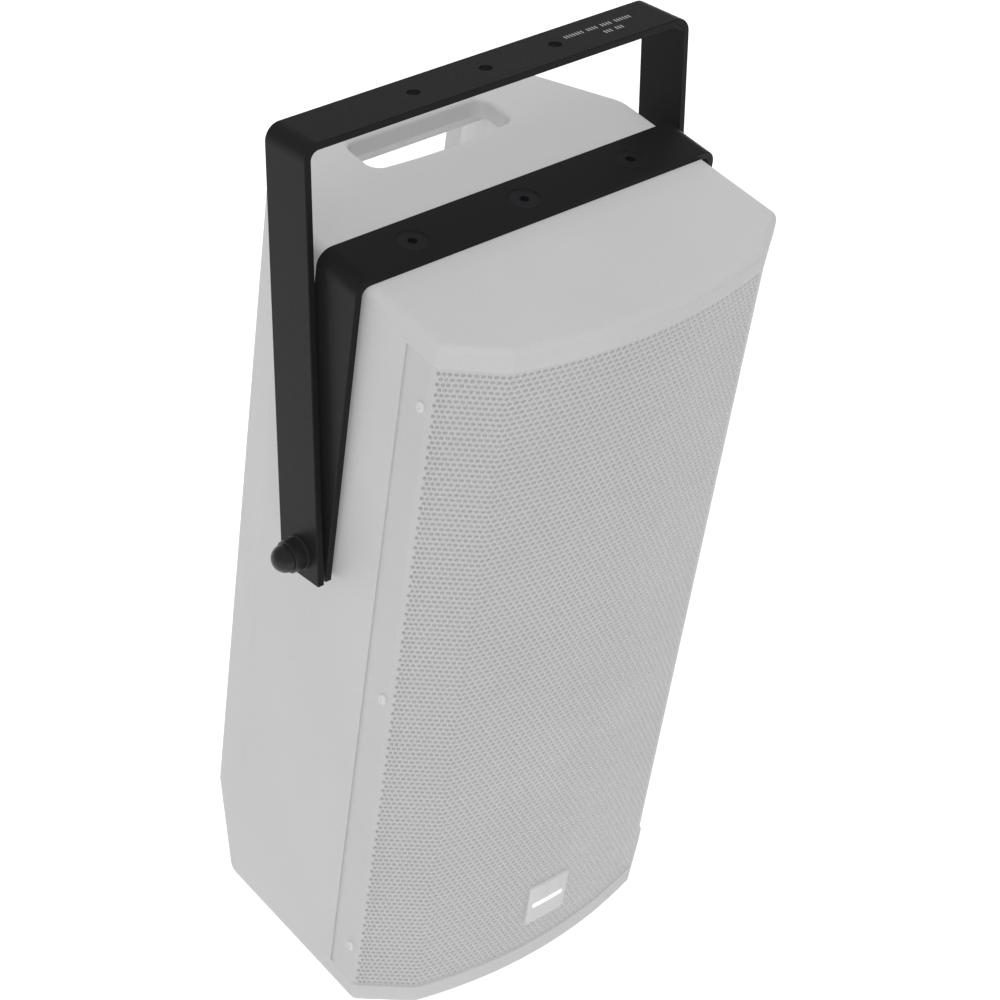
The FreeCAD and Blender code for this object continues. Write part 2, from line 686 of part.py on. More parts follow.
def hf_diaphragm(centre_z):
    """A small dome with its coil and flat rim, free to move behind the throat."""
    rise = 6.0
    base_r = 22.0
    radius = (base_r ** 2 + rise ** 2) / (2 * rise)
    base_w = 112.0
    centre = V(0, BAFFLE_FRONT + base_w + rise - radius, centre_z)
    dome = Part.makeSphere(radius, centre).cut(Part.makeSphere(radius - 0.4, centre))
    dome = dome.common(disc(base_r, 0, base_w, base_w + rise + 1, centre_z))
    return fused(dome, disc(23.5, 21.5, 104, base_w + 0.4, centre_z))


def hf_cover(centre_z):
    return fused(disc(42, 39.5, 110, 124, centre_z), disc(42, 0, 124, 126, centre_z))


def driver_screws():
    """Eight screws round each driver's flange."""
    screws = []
    for z in DRIVER_Z:
        for i in range(DRIVER_SCREWS):
            angle = 2 * math.pi * (i + 0.5) / DRIVER_SCREWS
            at = (DRIVER_SCREW_R * math.cos(angle), BAFFLE_FRONT - 4, z + DRIVER_SCREW_R * math.sin(angle))
            screws.append(pan_screw(at, Y_AXIS * -1, 4.2, 2.6, 2.3, 18))
    return screws


# ---------------------------------------------------------------- ports and soft parts

def port_tubes():
    ports = []
    for x in (-PORT_X, PORT_X):
        body = tube(PORT_R + 3, PORT_R, PORT_LENGTH, (x, BAFFLE_FRONT, PORT_Z), Y_AXIS)
        lip = tube(PORT_R + 7, PORT_R, 2.5, (x, BAFFLE_FRONT - 2.5, PORT_Z), Y_AXIS)
        ports.append(fused(body, lip))
    return ports


def damping_pads():
    """Four wool pads on the inside of the two straight sides."""
    pads = []
    for z0, z1 in ((118, BRACE_Z - 3), (BRACE_Z + BRACE_T + 3, 560)):
        pad = box(107, INNER_HALF - 0.5, -60, 48, z0, z1)
        pads += [pad, mirrored(pad)]
    return pads


# ---------------------------------------------------------------- underside

def bottom_screw_places():
    """Where the underside's screw heads lie: one in each foot, four in the socket's flange."""
    places = [(x, y, -FOOT_H + 2.0) for x, y in FOOT_PLACES]
    for i in range(4):
        angle = math.radians(45 + 90 * i)
        places.append((SOCKET_SCREW_R * math.cos(angle), SOCKET_SCREW_R * math.sin(angle), 0))
    return places


def bottom_screw_blanks():
    return [flush_blank(at, Z_AXIS * -1, 4.6, 2.3, 2.3, 15) for at in bottom_screw_places()]


def bottom_screws():
    places = bottom_screw_places()
    return [with_hex_socket(blank, at, Z_AXIS * -1, 3.4, 1.8)
            for at, blank in zip(places, bottom_screw_blanks())]


def rubber_feet():
    feet = []
    for x, y in FOOT_PLACES:
        foot = Part.makeCone(FOOT_R, FOOT_R - 2, FOOT_H, V(x, y, 0), Z_AXIS * -1)
        foot = foot.cut(cylinder(6.0, 2.0, (x, y, -FOOT_H), Z_AXIS))
        for screw in bottom_screw_blanks():
            foot = foot.cut(screw)
        feet.append(foot)
    return feet


def pole_socket():
    """A flanged steel cup for a 35 mm stand pole, let into the bottom panel."""
    cup = fused(cylinder(SOCKET_R + 2, SOCKET_DEPTH + 2, (0, 0, 0), Z_AXIS),
                cylinder(SOCKET_FLANGE_R, SOCKET_FLANGE_T, (0, 0, 0), Z_AXIS))
    cup = cup.cut(cylinder(SOCKET_R, SOCKET_DEPTH, (0, 0, 0), Z_AXIS))
    for screw in bottom_screw_blanks():
        cup = cup.cut(screw)
    return cup


# ---------------------------------------------------------------- input panel and crossover

def input_plate_block():
    plate = box(-INPUT_HALF_W, INPUT_HALF_W, REAR_Y - INPUT_PLATE_T, REAR_Y, INPUT_Z - INPUT_HALF_H,
                INPUT_Z + INPUT_HALF_H)
    return plate.makeFillet(5.0, edges_along(plate, Y_AXIS, lambda p: True))


def input_panel():
    """A steel plate let into the rear wall, pierced for two sockets and the terminal strip."""
    plate = input_plate_block()
    for x in SOCKETS_X:
        plate = plate.cut(cylinder(12.1, 10, (x, REAR_Y - 5, SOCKETS_Z), Y_AXIS))
    plate = plate.cut(box(-30, 30, REAR_Y - 5, REAR_Y + 5, INPUT_Z - 36, INPUT_Z - 14))
    for screw in input_panel_screws():
        plate = plate.cut(screw)
    return plate


def input_panel_screws():
    screws = []
    for x in (-INPUT_HALF_W + 6, 0, INPUT_HALF_W - 6):
        for z in (INPUT_Z - INPUT_HALF_H + 5, INPUT_Z + INPUT_HALF_H - 5):
            screws.append(pan_screw((x, REAR_Y, z), Y_AXIS, 3.2, 1.8, 1.7, 13))
    return screws


def input_sockets():
    """Two round locking loudspeaker sockets, each with a centre post."""
    sockets = []
    for x in SOCKETS_X:
        flange = box(x - 13, x + 13, REAR_Y, REAR_Y + 2, SOCKETS_Z - 15.5, SOCKETS_Z + 15.5)
        flange = flange.makeFillet(3.0, edges_along(flange, Y_AXIS, lambda p: True))
        body = cylinder(12.0, 27, (x, REAR_Y - 26, SOCKETS_Z), Y_AXIS)
        cup = tube(10.0, 6.0, 23, (x, REAR_Y - 20, SOCKETS_Z), Y_AXIS)
        sockets.append(fused(flange, body).cut(cup))
    return sockets


def barrier_strip():
    """A four-way screw terminal strip that stands through the plate's lower opening."""
    block = box(-29.9, 29.9, REAR_Y - 14, REAR_Y + 3, INPUT_Z - 35.9, INPUT_Z - 14.1)
    for i in range(4):
        x = -21 + 14 * i
        block = block.cut(box(x - 5.5, x + 5.5, REAR_Y - 5, REAR_Y + 4, INPUT_Z - 34, INPUT_Z - 16))
        head = cylinder(3.4, 3.0, (x, REAR_Y - 5, INPUT_Z - 25), Y_AXIS)
        head = head.cut(box(x - 4, x + 4, REAR_Y - 3, REAR_Y, INPUT_Z - 25.5, INPUT_Z - 24.5))
        block = block.fuse(head)
    return block.removeSplitter()


def crossover_board():
    board = box(-66, 66, 36, 118, BOARD_Z, BOARD_Z + 1.6)
    for x, y in board_posts():
        board = board.cut(cylinder(1.6, 4, (x, y, BOARD_Z - 1), Z_AXIS))
    return board


def board_posts():
    return [(x, y) for x in (-61, 61) for y in (41, 113)]


def board_standoffs():
    """Four posts with a spigot that holds the board."""
    posts = []
    for x, y in board_posts():
        post = cylinder(4.0, BOARD_Z - BOTTOM_T, (x, y, BOTTOM_T), Z_AXIS)
        posts.append(fused(post, cylinder(1.55, 3.5, (x, y, BOARD_Z), Z_AXIS)))
    return posts


def inductors():
    """Three open coils of wire on the board."""
    top = BOARD_Z + 1.6
    places = ((-38, 64, 20, 9, 22), (12, 60, 17, 8, 18), (34, 98, 13, 6, 14))
    return [tube(outer, inner, h, (x, y, top), Z_AXIS) for x, y, outer, inner, h in places]


def capacitors():
    """Four film capacitors lying on the board."""
    radius = 7.0
    z = BOARD_Z + 1.6 + radius
    places = ((-58, 96), (-28, 96), (38, 50), (38, 68))
    return [cylinder(radius, 24, (x, y, z), X_AXIS) for x, y in places]


def resistors():
    """Three cement resistors standing along the board's rear edge."""
    top = BOARD_Z + 1.6
    return [box(x, x + 8, 108, 116, top + 0.2, top + 22) for x in (-46, -30, -14)]


def cable(route):
    """A round cable through a list of points, with a ball at each bend."""
    radius = 2.5
    points = [V(*p) for p in route]
    runs = [Part.makeCylinder(radius, b.sub(a).Length, a, b.sub(a)) for a, b in zip(points, points[1:])]
    bends = [Part.makeSphere(radius, p) for p in points[1:-1]]
    return fused(*runs, *bends)


def wiring_harness():
    """Three cables: socket to crossover, and crossover to each driver."""
    to_board = cable(((48, 121, 262), (48, 121, 60), (54, 104, 33)))
    to_lower = cable(((-4, 82, 33), (-4, 82, 100), (-70, 30, 190), (-64, -16, 236)))
    to_upper = cable(((2, 106, 33), (2, 106, 60), (-58, 84, 140), (-58, 84, 400), (-70, 10, 444),
                      (-64, -16, 450)))
    return [to_board, to_lower, to_upper]


# ---------------------------------------------------------------- build

def build():
    lower, upper = DRIVER_Z
    right_side = side_panel()
    right_rear = angled_panel()
    save("top_panel", top_panel())
    save("bottom_panel", bottom_panel())
    save("right_side_panel", right_side)
    save("left_side_panel", mirrored(right_side))
    save("right_rear_panel", right_rear)
    save("left_rear_panel", mirrored(right_rear))
    save("rear_panel", rear_panel())
    save("front_baffle", front_baffle())
    save("window_brace", window_brace())
    save("handle_pocket", handle_pocket())
    save("handle_grip", handle_grip())
    save("grille", grille())
    save("grille_foam", grille_foam())
    save("grille_screws", *grille_screws())
    save("badge_plate", badge_plate())
    save("badge_mark", badge_mark())
    save("mounting_bracket", mounting_bracket())
    save("bracket_screws", *bracket_screws())
    save("threaded_inserts", *threaded_inserts())
    save("pivot_studs", *pivot_studs())
    save("friction_washers", *friction_washers())
    save("outer_washers", *outer_washers())
    save("pivot_nuts", *pivot_nuts())
    save("nut_caps", *nut_caps())
    save("yoke_strap", yoke_strap())
    shared = {"driver_baskets": basket, "driver_gaskets": driver_gasket, "surrounds": surround,
              "spiders": spider, "top_plates": top_plate, "magnets": magnet}
    for name, piece in shared.items():
        save(name, piece(lower), piece(upper))
    save("lf_pole_piece", pole_piece(lower, 5.0))
    save("lf_cone", cone(lower))
    save("lf_voice_coil", voice_coil(lower))
    save("lf_dust_cap", dust_cap(lower))
    save("coax_pole_piece", pole_piece(upper, 13.0))
    save("coax_cone", cone(upper))
    save("coax_voice_coil", voice_coil(upper))
    save("hf_waveguide", hf_waveguide(upper))
    save("hf_body", hf_body(upper))
    save("hf_magnet", hf_magnet(upper))
    save("hf_diaphragm", hf_diaphragm(upper))
    save("hf_cover", hf_cover(upper))
    save("driver_screws", *driver_screws())
    save("port_tubes", *port_tubes())
    save("damping_pads", *damping_pads())
    save("rubber_feet", *rubber_feet())
    save("bottom_screws", *bottom_screws())
    save("pole_socket", pole_socket())
    save("input_panel", input_panel())
    save("input_panel_screws", *input_panel_screws())
    save("input_sockets", *input_sockets())
    save("barrier_strip", barrier_strip())
    save("crossover_board", crossover_board())
    save("board_standoffs", *board_standoffs())
    save("inductors", *inductors())
    save("capacitors", *capacitors())
    save("resistors", *resistors())
    save("wiring_harness", *wiring_harness())


os.makedirs("parts", exist_ok=True)
build()
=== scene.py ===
"""The looks of the loudspeaker cabinet with its tilting yoke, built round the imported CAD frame."""

import math

import bpy
from mathutils import Matrix, Vector, noise


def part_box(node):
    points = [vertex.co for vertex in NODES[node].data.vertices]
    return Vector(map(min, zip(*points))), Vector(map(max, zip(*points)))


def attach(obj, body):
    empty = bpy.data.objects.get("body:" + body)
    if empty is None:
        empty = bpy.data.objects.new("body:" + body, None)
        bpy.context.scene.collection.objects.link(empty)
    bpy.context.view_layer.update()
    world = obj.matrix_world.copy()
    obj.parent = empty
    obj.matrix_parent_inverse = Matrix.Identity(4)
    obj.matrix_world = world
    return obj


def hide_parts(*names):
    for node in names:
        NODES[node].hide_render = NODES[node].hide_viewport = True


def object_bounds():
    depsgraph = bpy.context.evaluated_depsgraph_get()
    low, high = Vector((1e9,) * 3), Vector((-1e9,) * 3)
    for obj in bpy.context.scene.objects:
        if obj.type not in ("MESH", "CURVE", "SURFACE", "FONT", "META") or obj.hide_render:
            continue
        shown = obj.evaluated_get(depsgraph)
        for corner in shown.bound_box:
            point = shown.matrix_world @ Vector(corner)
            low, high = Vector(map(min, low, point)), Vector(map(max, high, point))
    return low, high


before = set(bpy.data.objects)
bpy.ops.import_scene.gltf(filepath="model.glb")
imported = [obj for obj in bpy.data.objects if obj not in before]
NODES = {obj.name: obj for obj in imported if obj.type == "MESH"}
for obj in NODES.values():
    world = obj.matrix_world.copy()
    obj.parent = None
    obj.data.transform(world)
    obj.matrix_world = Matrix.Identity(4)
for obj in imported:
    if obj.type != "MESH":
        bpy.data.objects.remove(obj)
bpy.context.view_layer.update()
MM = 0.001

# ---- the cabinet's curved front, as in the CAD outline ----
SIDE_X = 139.9 * MM
FACET_HALF = 104.0 * MM
FACET_Y = -116.0 * MM
APEX_Y = -130.0 * MM
FACET_RUN = Vector((0.8, 0.6))
GRILLE_INSET = 1.5 * MM
GRILLE_T = 1.5 * MM
BEND_R = 8.0 * MM

# ---- perforation ----
ROWS = 138
TOP_ROW_Z = 576.0 * MM
ROW_STEP = 4.0511 * MM
ARC_STEP = 2.39 * MM       # from one column to the next, half the pitch along a row
FACET_STEP = 2.0 * MM
OUTER_STEP = 1.65 * MM     # the last few columns lie closer together
FACET_COLUMNS = 19
OUTER_COLUMNS = 4
SIDE_MARGIN = 3.0 * MM     # from the last column to the edge of the perforated field
HOLE_HALF_HEIGHT = 1.78 * MM
HOLE_SHARE = 0.385         # half the width of a hole, as a share of the pitch along its row
HOLE_SIDES = 8
SAME_PLACE = 1e-9
FOLD_STEPS = 3             # along the bend between the perforated field and its flange
FLANGE_STEPS = 4

# ---- foam behind the grille ----
FOAM_GAP = 0.3 * MM
FOAM_T = 3.0 * MM
FOAM_ACROSS = 92
FOAM_UP = 150

# ---- wadding ----
WADDING_T = 17.5 * MM
WADDING_GAP = 3.0 * MM     # between a pad and the brace
WADDING_ACROSS = 30
WADDING_UP = 52

# ---- wiring ----
WIRE_R = 1.15 * MM
WIRE_TWIST = 22 * MM       # length of one full twist
WIRE_BEND_R = 14 * MM
WIRE_STEP = 1.6 * MM
WIRE_SIDES = 10

# ---- yoke ----
PIVOT = Vector((0.0, 0.0, 0.376))
YOKE_LEAN = math.radians(9.9)
YOKE_RISE = 296.3 * MM

# ---- light: name, direction towards it, strength and angular size in degrees ----
WORLD_STRENGTH = 0.4
BACKDROP_STRENGTH = 1.0    # what the camera sees behind the object
SUN_DISTANCE = 3.0
FLOOR_HALF = 9.0
FILL_SUNS = (
    ("top_screen", (0.0, 0.0, 1.0), 2.6, 60.0),
    ("left_screen", (-0.87, -0.5, 0.0), 1.6, 60.0),
    ("right_screen", (0.6, -0.8, 0.0), 0.62, 60.0),
    ("back_screen", (0.5, 0.87, 0.0), 1.2, 60.0),
)

# ---- camera ----
LOOK_AT = Vector((0.0, -0.02008, 0.36460))
CAMERA_AZIMUTH = -45.4975
CAMERA_ELEVATION = 40.018
CAMERA_ROLL = 8.957
CAMERA_DISTANCE = 1.8988
CAMERA_LENS = 100.76
SENSOR_WIDTH = 36.0

# ---- sockets of Blender's colour mix node, which have no names of their own ----
MIX_SHARE = 0
MIX_FIRST = 6
MIX_SECOND = 7
MIX_RESULT = 2


# ---------------------------------------------------------------- shader helpers

class Surface:
    """A material, with short calls for the nodes that make up its pattern. Sizes are in metres."""

    def __init__(self, name, roughness=0.5, metallic=0.0, specular=0.5):
        self.material = bpy.data.materials.new(name)
        self.material.use_nodes = True
        self.tree = self.material.node_tree
        self.tree.nodes.clear()
        self.bsdf = self.tree.nodes.new("ShaderNodeBsdfPrincipled")
        output = self.tree.nodes.new("ShaderNodeOutputMaterial")
        self.link(self.bsdf.outputs[0], output.inputs["Surface"])
        self.place = self.tree.nodes.new("ShaderNodeTexCoord").outputs["Object"]
        self.set("Roughness", roughness)
        self.set("Metallic", metallic)
        self.set("Specular IOR Level", specular)

    def link(self, source, socket):
        self.tree.links.new(source, socket)

    def feed(self, socket, value):
        """Connect a node's output, or set a plain number or colour."""
        if isinstance(value, bpy.types.NodeSocket):
            self.link(value, socket)
        elif isinstance(value, tuple) and len(value) == 3 and socket.type == "RGBA":
            socket.default_value = (*value, 1.0)
        else:
            socket.default_value = value

    def set(self, name, value):
        self.feed(self.bsdf.inputs[name], value)

    def stretched(self, size, stretch):
        mapping = self.tree.nodes.new("ShaderNodeMapping")
        self.link(self.place, mapping.inputs["Vector"])
        mapping.inputs["Scale"].default_value = [1.0 / (size * s) for s in stretch]
        return mapping.outputs[0]

    def noise(self, size, detail=2.0, stretch=(1, 1, 1), distortion=0.0):
        node = self.tree.nodes.new("ShaderNodeTexNoise")
        node.inputs["Scale"].default_value = 1.0
        node.inputs["Detail"].default_value = detail
        node.inputs["Distortion"].default_value = distortion
        self.link(self.stretched(size, stretch), node.inputs["Vector"])
        return node.outputs[0]

    def cells(self, size, feature="F1", stretch=(1, 1, 1)):
        node = self.tree.nodes.new("ShaderNodeTexVoronoi")
        node.feature = feature
        node.inputs["Scale"].default_value = 1.0
        self.link(self.stretched(size, stretch), node.inputs["Vector"])
        return node.outputs["Distance"]

    def math(self, operation, a, b=0.0, c=0.0):
        node = self.tree.nodes.new("ShaderNodeMath")
        node.operation = operation
        for socket, value in zip(node.inputs, (a, b, c)):
            self.feed(socket, value)
        return node.outputs[0]

    def axis(self, letter):
        split = self.tree.nodes.new("ShaderNodeSeparateXYZ")
        self.link(self.place, split.inputs[0])
        return split.outputs[letter]

    def waves(self, value, pitch):
        """A sine of the value with the given pitch, from 0 to 1."""
        turned = self.math("SINE", self.math("MULTIPLY", value, 2 * math.pi / pitch))
        return self.math("MULTIPLY_ADD", turned, 0.5, 0.5)

    def radius(self, letters, centres):
        """Distance from the nearest of several axes."""
        nearest = None
        for centre in centres:
            offsets = [self.math("SUBTRACT", self.axis(c), at) for c, at in zip(letters, centre)]
            squares = [self.math("MULTIPLY", o, o) for o in offsets]
            distance = self.math("SQRT", self.math("ADD", *squares))
            nearest = distance if nearest is None else self.math("MINIMUM", nearest, distance)
        return nearest

    def span(self, value, low, high, start=0.0, end=1.0):
        """The part of value between low and high, spread from start to end."""
        node = self.tree.nodes.new("ShaderNodeMapRange")
        limits = {"From Min": low, "From Max": high, "To Min": start, "To Max": end}
        for name, number in limits.items():
            node.inputs[name].default_value = number
        self.feed(node.inputs["Value"], value)
        return node.outputs[0]

    def mix(self, share, first, second):
        node = self.tree.nodes.new("ShaderNodeMix")
        node.data_type = "RGBA"
        self.feed(node.inputs[MIX_SHARE], share)
        self.feed(node.inputs[MIX_FIRST], first)
        self.feed(node.inputs[MIX_SECOND], second)
        return node.outputs[MIX_RESULT]

    def bump(self, height, depth, under=None):
        node = self.tree.nodes.new("ShaderNodeBump")
        node.inputs["Strength"].default_value = 1.0
        node.inputs["Distance"].default_value = depth
        self.feed(node.inputs["Height"], height)
        if under is not None:
            self.link(under, node.inputs["Normal"])
        self.set("Normal", node.outputs[0])
        return node.outputs[0]

    def edges(self, radius):
        """1 on sharp edges, falling to 0 on flat ground."""
        bevel = self.tree.nodes.new("ShaderNodeBevel")
        bevel.samples = 4
        bevel.inputs["Radius"].default_value = radius
        geometry = self.tree.nodes.new("ShaderNodeNewGeometry")
        dot = self.tree.nodes.new("ShaderNodeVectorMath")
        dot.operation = "DOT_PRODUCT"
        self.link(bevel.outputs[0], dot.inputs[0])
        self.link(geometry.outputs["Normal"], dot.inputs[1])
        flat = 0.995
        sharp = 0.85
        return self.span(dot.outputs["Value"], flat, sharp)


def shade(colour, factor):
    return tuple(c * factor for c in colour)


# ---------------------------------------------------------------- painted and moulded surfaces

def textured_paint(name, colour, grain, depth, roughness, specular, wear_and_highlight, edge_radius):
    """Sprayed paint or powder coat: fine orange peel with painted shade in its pits, faint mottling, and
    edges lightened as rubbed wear and as a painted highlight.
    """
    s = Surface(name, specular=specular)
    cloud = s.noise(0.11, 3.0)
    peel = s.noise(grain, 3.0)
    pits = s.cells(grain * 0.8)
    toned = s.mix(s.span(cloud, 0.3, 0.7), shade(colour, 0.975), shade(colour, 1.02))
    # Darker in the low spots of the peel: painted shade in its pits.
    toned = s.mix(s.span(peel, 0.25, 0.5, 0.5, 0.0), toned, shade(colour, 0.86))
    # Lighter on the edges, in patches: rubbed wear and a painted edge highlight.
    rub_and_highlight = s.math("MULTIPLY", s.edges(edge_radius), s.span(s.noise(0.009, 4.0), 0.35, 0.65, 0.25, 1.0))
    toned = s.mix(rub_and_highlight, toned, wear_and_highlight)
    s.set("Base Color", toned)
    fine = s.noise(grain * 2.6, 2.0)
    s.set("Roughness", s.span(fine, 0.3, 0.7, roughness - 0.05, roughness + 0.06))
    first = s.bump(peel, depth)
    s.bump(pits, depth * 0.35, first)
    return s.material


def cabinet_paint():
    return textured_paint("cabinet_paint", (0.405, 0.405, 0.408), 1.1 * MM, 0.03 * MM, 0.55, 0.35,
                          (0.425, 0.425, 0.427), 2.5 * MM)


def grille_paint():
    return textured_paint("grille_paint", (0.38, 0.38, 0.383), 0.6 * MM, 0.015 * MM, 0.45, 0.35,
                          (0.40, 0.40, 0.402), 0.3 * MM)


def painted_screw():
    return textured_paint("painted_screw", (0.46, 0.46, 0.463), 0.5 * MM, 0.01 * MM, 0.4, 0.4,
                          (0.58, 0.58, 0.582), 0.4 * MM)


def black_powder_coat():
    return textured_paint("black_powder_coat", (0.0095, 0.0095, 0.0098), 0.7 * MM, 0.02 * MM, 0.38, 0.08,
                          (0.016, 0.016, 0.0165), 0.8 * MM)


def baffle_paint():
    """Rolled matt black over plywood: the roller's stipple with the grain just showing."""
    s = Surface("baffle_paint", specular=0.25)
    stipple = s.noise(1.6 * MM, 3.0)
    grain = s.noise(2.0 * MM, 3.0, stretch=(14, 1, 1), distortion=0.4)
    s.set("Base Color", s.mix(s.span(grain, 0.3, 0.7), (0.026, 0.026, 0.026), (0.036, 0.036, 0.037)))
    s.set("Roughness", s.span(stipple, 0.3, 0.7, 0.72, 0.86))
    s.bump(grain, 0.06 * MM, s.bump(stipple, 0.08 * MM))
    return s.material


def bare_plywood():
    """Birch plywood: long grain on the faces, stacked plies on the cut edges."""
    s = Surface("bare_plywood", roughness=0.62, specular=0.3)
    rings = s.noise(7.0 * MM, 4.0, stretch=(9, 1, 1), distortion=0.8)
    pores = s.noise(0.5 * MM, 2.0, stretch=(18, 1, 1))
    face = s.mix(s.span(rings, 0.3, 0.7), (0.66, 0.49, 0.29), (0.53, 0.37, 0.20))
    face = s.mix(s.span(pores, 0.62, 0.75, 0.0, 0.5), face, (0.36, 0.24, 0.13))
    plies = s.span(s.waves(s.axis("Z"), 2.4 * MM), 0.35, 0.65)
    edge = s.mix(plies, (0.42, 0.27, 0.14), (0.67, 0.51, 0.32))
    geometry = s.tree.nodes.new("ShaderNodeNewGeometry")
    split = s.tree.nodes.new("ShaderNodeSeparateXYZ")
    s.link(geometry.outputs["Normal"], split.inputs[0])
    lying = s.span(s.math("ABSOLUTE", split.outputs["Z"]), 0.4, 0.6)
    s.set("Base Color", s.mix(lying, edge, face))
    s.bump(pores, 0.05 * MM, s.bump(rings, 0.1 * MM))
    return s.material


def moulding(name, colour, grain, depth, roughness, specular=0.4, coat=0.0):
    """Moulded plastic: a fine spark-eroded grain with painted shade in its dimples, flow marks and
    slight gloss changes.
    """
    s = Surface(name, specular=specular)
    grain_cells = s.cells(grain, "SMOOTH_F1")
    flow = s.noise(0.03, 2.0, stretch=(1, 1, 3), distortion=1.2)
    toned = s.mix(s.span(flow, 0.3, 0.7), shade(colour, 0.93), shade(colour, 1.05))
    # Darker in the dimples of the grain: painted shade.
    toned = s.mix(s.span(grain_cells, 0.1, 0.6, 0.35, 0.0), toned, shade(colour, 0.8))
    s.set("Base Color", toned)
    s.set("Roughness", s.span(s.noise(grain * 5, 3.0), 0.3, 0.7, roughness - 0.05, roughness + 0.07))
    s.set("Coat Weight", coat)
    s.set("Coat Roughness", 0.25)
    s.bump(grain_cells, depth, s.bump(flow, depth * 2))
    return s.material


def handle_moulding():
    # Paler than the cabinet paint: painted light that lifts the shade inside the handle pocket.
    return moulding("handle_moulding", (0.50, 0.50, 0.504), 0.7 * MM, 0.03 * MM, 0.55)


def badge_plastic():
    return moulding("badge_plastic", (0.43, 0.43, 0.433), 0.35 * MM, 0.006 * MM, 0.35, coat=0.15)


def printed(name, colour):
    """Screen-printed ink: a slightly uneven film with a trace of the screen's weave."""
    s = Surface(name, specular=0.4)
    weave = s.math("MULTIPLY", s.waves(s.axis("X"), 0.3 * MM), s.waves(s.axis("Z"), 0.3 * MM))
    film = s.noise(1.5 * MM, 3.0)
    s.set("Base Color", s.mix(s.span(film, 0.3, 0.7), shade(colour, 0.93), colour))
    s.set("Roughness", s.span(film, 0.3, 0.7, 0.32, 0.48))
    s.bump(weave, 0.008 * MM)
    return s.material


def badge_white():
    return printed("badge_white", (0.97, 0.97, 0.97))


def print_ink():
    return printed("print_ink", (0.3, 0.3, 0.303))


def black_nylon():
    return moulding("black_nylon", (0.016, 0.016, 0.016), 0.4 * MM, 0.012 * MM, 0.48, specular=0.35)


def black_cap():
    return moulding("black_cap", (0.010, 0.010, 0.0105), 0.9 * MM, 0.006 * MM, 0.34,
                    specular=0.25, coat=0.08)


def black_abs():
    return moulding("black_abs", (0.020, 0.020, 0.020), 0.6 * MM, 0.02 * MM, 0.5)


def terminal_block():
    return moulding("terminal_block", (0.028, 0.03, 0.034), 0.5 * MM, 0.012 * MM, 0.4, coat=0.1)


def rubber(name, colour, grain, depth, roughness):
    """Moulded rubber: matt, with a patchy pale bloom and painted shade in the hollows of its grain."""
    s = Surface(name, specular=0.3)
    skin = s.noise(grain, 4.0)
    bloom = s.noise(0.02, 3.0)
    toned = s.mix(s.span(bloom, 0.35, 0.75), colour, shade(colour, 1.7))
    # Darker in the hollows of the skin: painted shade.
    s.set("Base Color", s.mix(s.span(skin, 0.3, 0.5, 0.4, 0.0), toned, shade(colour, 0.6)))
    s.set("Roughness", s.span(skin, 0.3, 0.7, roughness, roughness + 0.12))
    s.set("Sheen Weight", 0.15)
    s.bump(skin, depth)
    return s.material


def foot_rubber():
    return rubber("foot_rubber", (0.022, 0.022, 0.022), 0.7 * MM, 0.03 * MM, 0.75)


def surround_rubber():
    return rubber("surround_rubber", (0.018, 0.018, 0.0185), 0.5 * MM, 0.012 * MM, 0.55)


def gasket():
    """Pressed fibre: short strands pressed flat in rubber."""
    s = Surface("gasket", roughness=0.85, specular=0.2)
    strands = s.noise(0.5 * MM, 3.0, stretch=(5, 1, 1), distortion=2.0)
    crossed = s.noise(0.5 * MM, 3.0, stretch=(1, 1, 5), distortion=2.0)
    felt = s.math("MAXIMUM", strands, crossed)
    s.set("Base Color", s.mix(s.span(felt, 0.45, 0.75), (0.028, 0.028, 0.028), (0.075, 0.072, 0.068)))
    s.bump(felt, 0.1 * MM)
    return s.material


# ---------------------------------------------------------------- metals

def plated(name, colour, tint, roughness):
    """Zinc plate: bright metal with drifting tint, fine drawing lines and small dull spots."""
    s = Surface(name, metallic=1.0)
    drift = s.noise(4.0 * MM, 2.0, distortion=0.6)
    lines = s.noise(0.15 * MM, 2.0, stretch=(1, 12, 1))
    spots = s.cells(1.6 * MM)
    toned = s.mix(s.span(drift, 0.3, 0.7), colour, tint)
    s.set("Base Color", s.mix(s.span(spots, 0.0, 0.18, 0.45, 0.0), toned, shade(colour, 0.55)))
    s.set("Roughness", s.span(s.math("ADD", lines, drift), 0.7, 1.3, roughness, roughness + 0.16))
    s.bump(lines, 0.01 * MM)
    return s.material


def zinc_plate():
    return plated("zinc_plate", (0.66, 0.67, 0.69), (0.70, 0.68, 0.60), 0.3)


def turned_metal(name, colour, letters, centres, pitch, depth, roughness, metallic):
    """Metal faced on a lathe: fine rings about each axis, and a few handling marks."""
    s = Surface(name, metallic=metallic, specular=0.35)
    distance = s.radius(letters, centres)
    wander = s.math("MULTIPLY", s.noise(3 * MM), 0.2 * MM)
    rings = s.waves(s.math("ADD", distance, wander), pitch)
    marks = s.noise(1.2 * MM, 3.0, stretch=(6, 1, 1))
    toned = s.mix(rings, shade(colour, 0.86), shade(colour, 1.12))
    s.set("Base Color", s.mix(s.span(marks, 0.62, 0.72, 0.0, 0.5), toned, shade(colour, 1.5)))
    s.set("Roughness", s.span(rings, 0.0, 1.0, roughness, roughness + 0.1))
    s.bump(rings, depth)
    return s.material


def centres_of(*names, letters):
    """The axes of round pieces, from the middle of each piece's box."""
    middles = []
    for name in names:
        low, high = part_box(name)
        middle = (low + high) / 2
        middles.append(tuple(getattr(middle, c.lower()) for c in letters))
    return middles


def bracket_screw_finish():
    low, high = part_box("bracket_screws")
    head_r = (high.y - low.y) / 2
    reach = high.x - head_r
    centres = [(x, 0.0) for x in (-reach, 0.0, reach)]
    return turned_metal("bracket_screw_black", (0.012, 0.0125, 0.014), "XY", centres,
                        0.9 * MM, 0.008 * MM, 0.36, 0.35)


